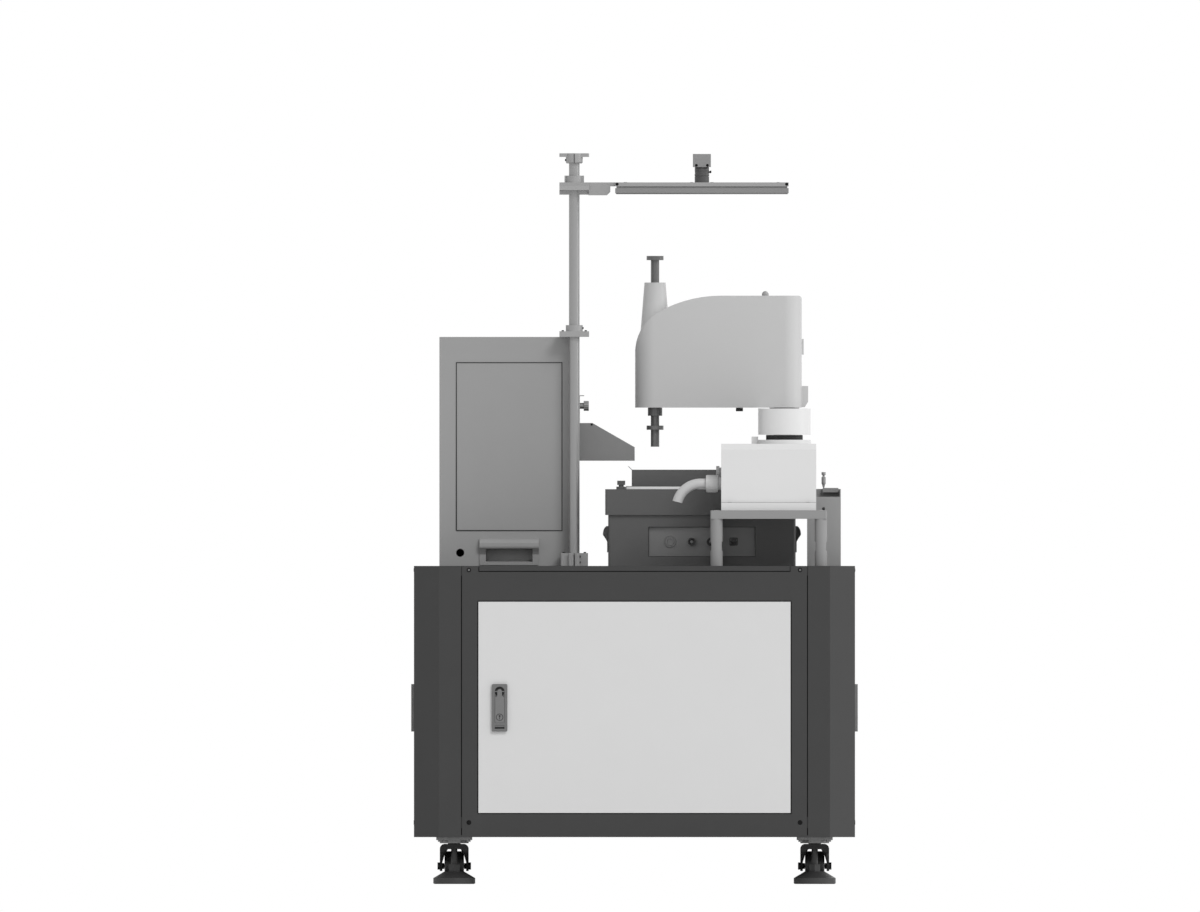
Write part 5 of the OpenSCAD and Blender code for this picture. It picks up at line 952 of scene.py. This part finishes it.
def add_connectors():
    """Shells and pin carriers of the two connectors, the rocker's bezel and the blank plug."""
    shell = [(0, 0.9), (0, 1.3), (6.1, 1.3), (6.1, 7.2), (6.7, 7.95), (9.0, 7.95), (9.5, 7.5),
             (9.5, 7.02), (6.48, 7.02), (6.48, 0.9)]
    carrier = [(0, 1.4), (4.2, 1.4), (4.2, 4.4), (3.6, 5.0), (0, 5.0)]
    for name, across in (("first_connector", FIRST_OVER), ("second_connector", SECOND_OVER)):
        centre = (FEEDER_X + across, SOCKET_FACE_Y, SOCKET_Z)
        shaped(name + "_shell", revolved(shell, 64, centre, "Y"), "cabinet",
               wheel_nylon)
        shaped(name + "_pin_carrier", revolved(carrier, 48, centre, "Y"), "cabinet",
               plate_anodise)
    low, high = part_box("rocker_switch")
    switch_x, switch_z = (low.x / MM + high.x / MM) / 2, (low.z / MM + high.z / MM) / 2
    bezel = rod_frame(switch_x, SOCKET_FACE_Y - BEZEL_OUT, switch_z, *BEZEL)
    shaped("rocker_switch_bezel", bezel, "cabinet", seal_rubber_and_shade)
    plug = [(0, 1.52), (6.5, 1.6), (7.0, 2.3), (9.4, 2.3), (10.0, 1.6), (12.2, 1.6), (12.8, 2.4),
            (13.8, 2.2), (14.1, 1.2), (14.1, 0.2), (13.0, 0.1), (0, 0.1)]
    plug_centre = (FEEDER_X + PLUG_OVER, SOCKET_FACE_Y, SOCKET_Z)
    shaped("blank_plug_face", revolved(plug, 64, plug_centre, "Y"), "cabinet",
           plate_anodise)


# ---------- camera, lights, floor and world ----------

# What one of the view's 1200 columns spans, in metres, and the middle of the view in X and Z.
COLUMN, COLUMNS = 2.358 * MM, 1200
VIEW_X, VIEW_Z = -0.0813, 1.0092
CAMERA_AWAY, CAMERA_REACH = 6.0, 60
FLOOR_HALF = 30.0
FILL_STRENGTH = 0.58


def add_camera():
    """A level camera without perspective, square to the front."""
    lens = bpy.data.cameras.new("view_camera")
    lens.type = "ORTHO"
    lens.ortho_scale = COLUMNS * COLUMN
    lens.clip_end = CAMERA_REACH
    camera = linked("view_camera", lens)
    camera.location = (VIEW_X, -CAMERA_AWAY, VIEW_Z)
    camera.rotation_euler = (math.radians(90), 0, 0)
    bpy.context.scene.camera = camera


def add_sun(name, direction, strength, degrees):
    """A soft sun that shines from that direction."""
    lamp = bpy.data.lights.new(name, "SUN")
    lamp.energy = strength
    lamp.angle = math.radians(degrees)
    linked(name, lamp).rotation_euler = Vector(direction).to_track_quat("Z", "Y").to_euler()


def add_floor():
    """A pale matt floor."""
    mesh = bpy.data.meshes.new("floor")
    mesh.from_pydata([(sx * FLOOR_HALF, sy * FLOOR_HALF, 0) for sx, sy in AROUND], [],
                     [(0, 1, 2, 3)])
    paint, tree, output = start_material("pale_floor")
    surface = add(tree, "ShaderNodeBsdfPrincipled",
                  values={"Base Color": linear("#F4F4F4"), "Roughness": 0.9})
    tree.links.new(surface.outputs["BSDF"], output.inputs["Surface"])
    mesh.materials.append(paint)
    linked("floor", mesh)


def add_world():
    """A white backdrop for what is seen, with a weaker fill for what is lit."""
    world = bpy.data.worlds.new("studio")
    bpy.context.scene.world = world
    world.use_nodes = True
    tree = world.node_tree
    tree.nodes.clear()
    output = add(tree, "ShaderNodeOutputWorld")
    ray = add(tree, "ShaderNodeLightPath").outputs
    seen = ray["Is Camera Ray"]
    for kind in ("Is Glossy Ray", "Is Transmission Ray"):
        seen = add(tree, "ShaderNodeMath", {0: seen, 1: ray[kind]},
                   operation="MAXIMUM").outputs["Value"]
    fill, backdrop = (add(tree, "ShaderNodeBackground",
                          values={"Color": linear("#FFFFFF"), "Strength": strength})
                      for strength in (FILL_STRENGTH, 1.0))
    sky = add(tree, "ShaderNodeMixShader",
              {0: seen, 1: fill.outputs["Background"], 2: backdrop.outputs["Background"]})
    tree.links.new(sky.outputs["Shader"], output.inputs["Surface"])


add_cabinet_screws()
add_arm_screws()
add_lens_and_gusset()
add_robot_trim()
add_front_plates()
add_unit_fittings()
add_door_seals()
add_seam_strips()
add_pivot_washers()
add_lock_details()
add_hopper_trim()
add_connectors()

add_camera()
add_sun("key_light", (0.62, -1.0, 1.05), 1.35, 24)
add_sun("side_light", (1.0, -0.1, 0.3), 0.6, 30)
add_sun("rim_light", (0.5, 1.0, 0.6), 0.7, 30)
add_floor()
add_world()

bpy.context.scene.view_settings.view_transform = "Standard"
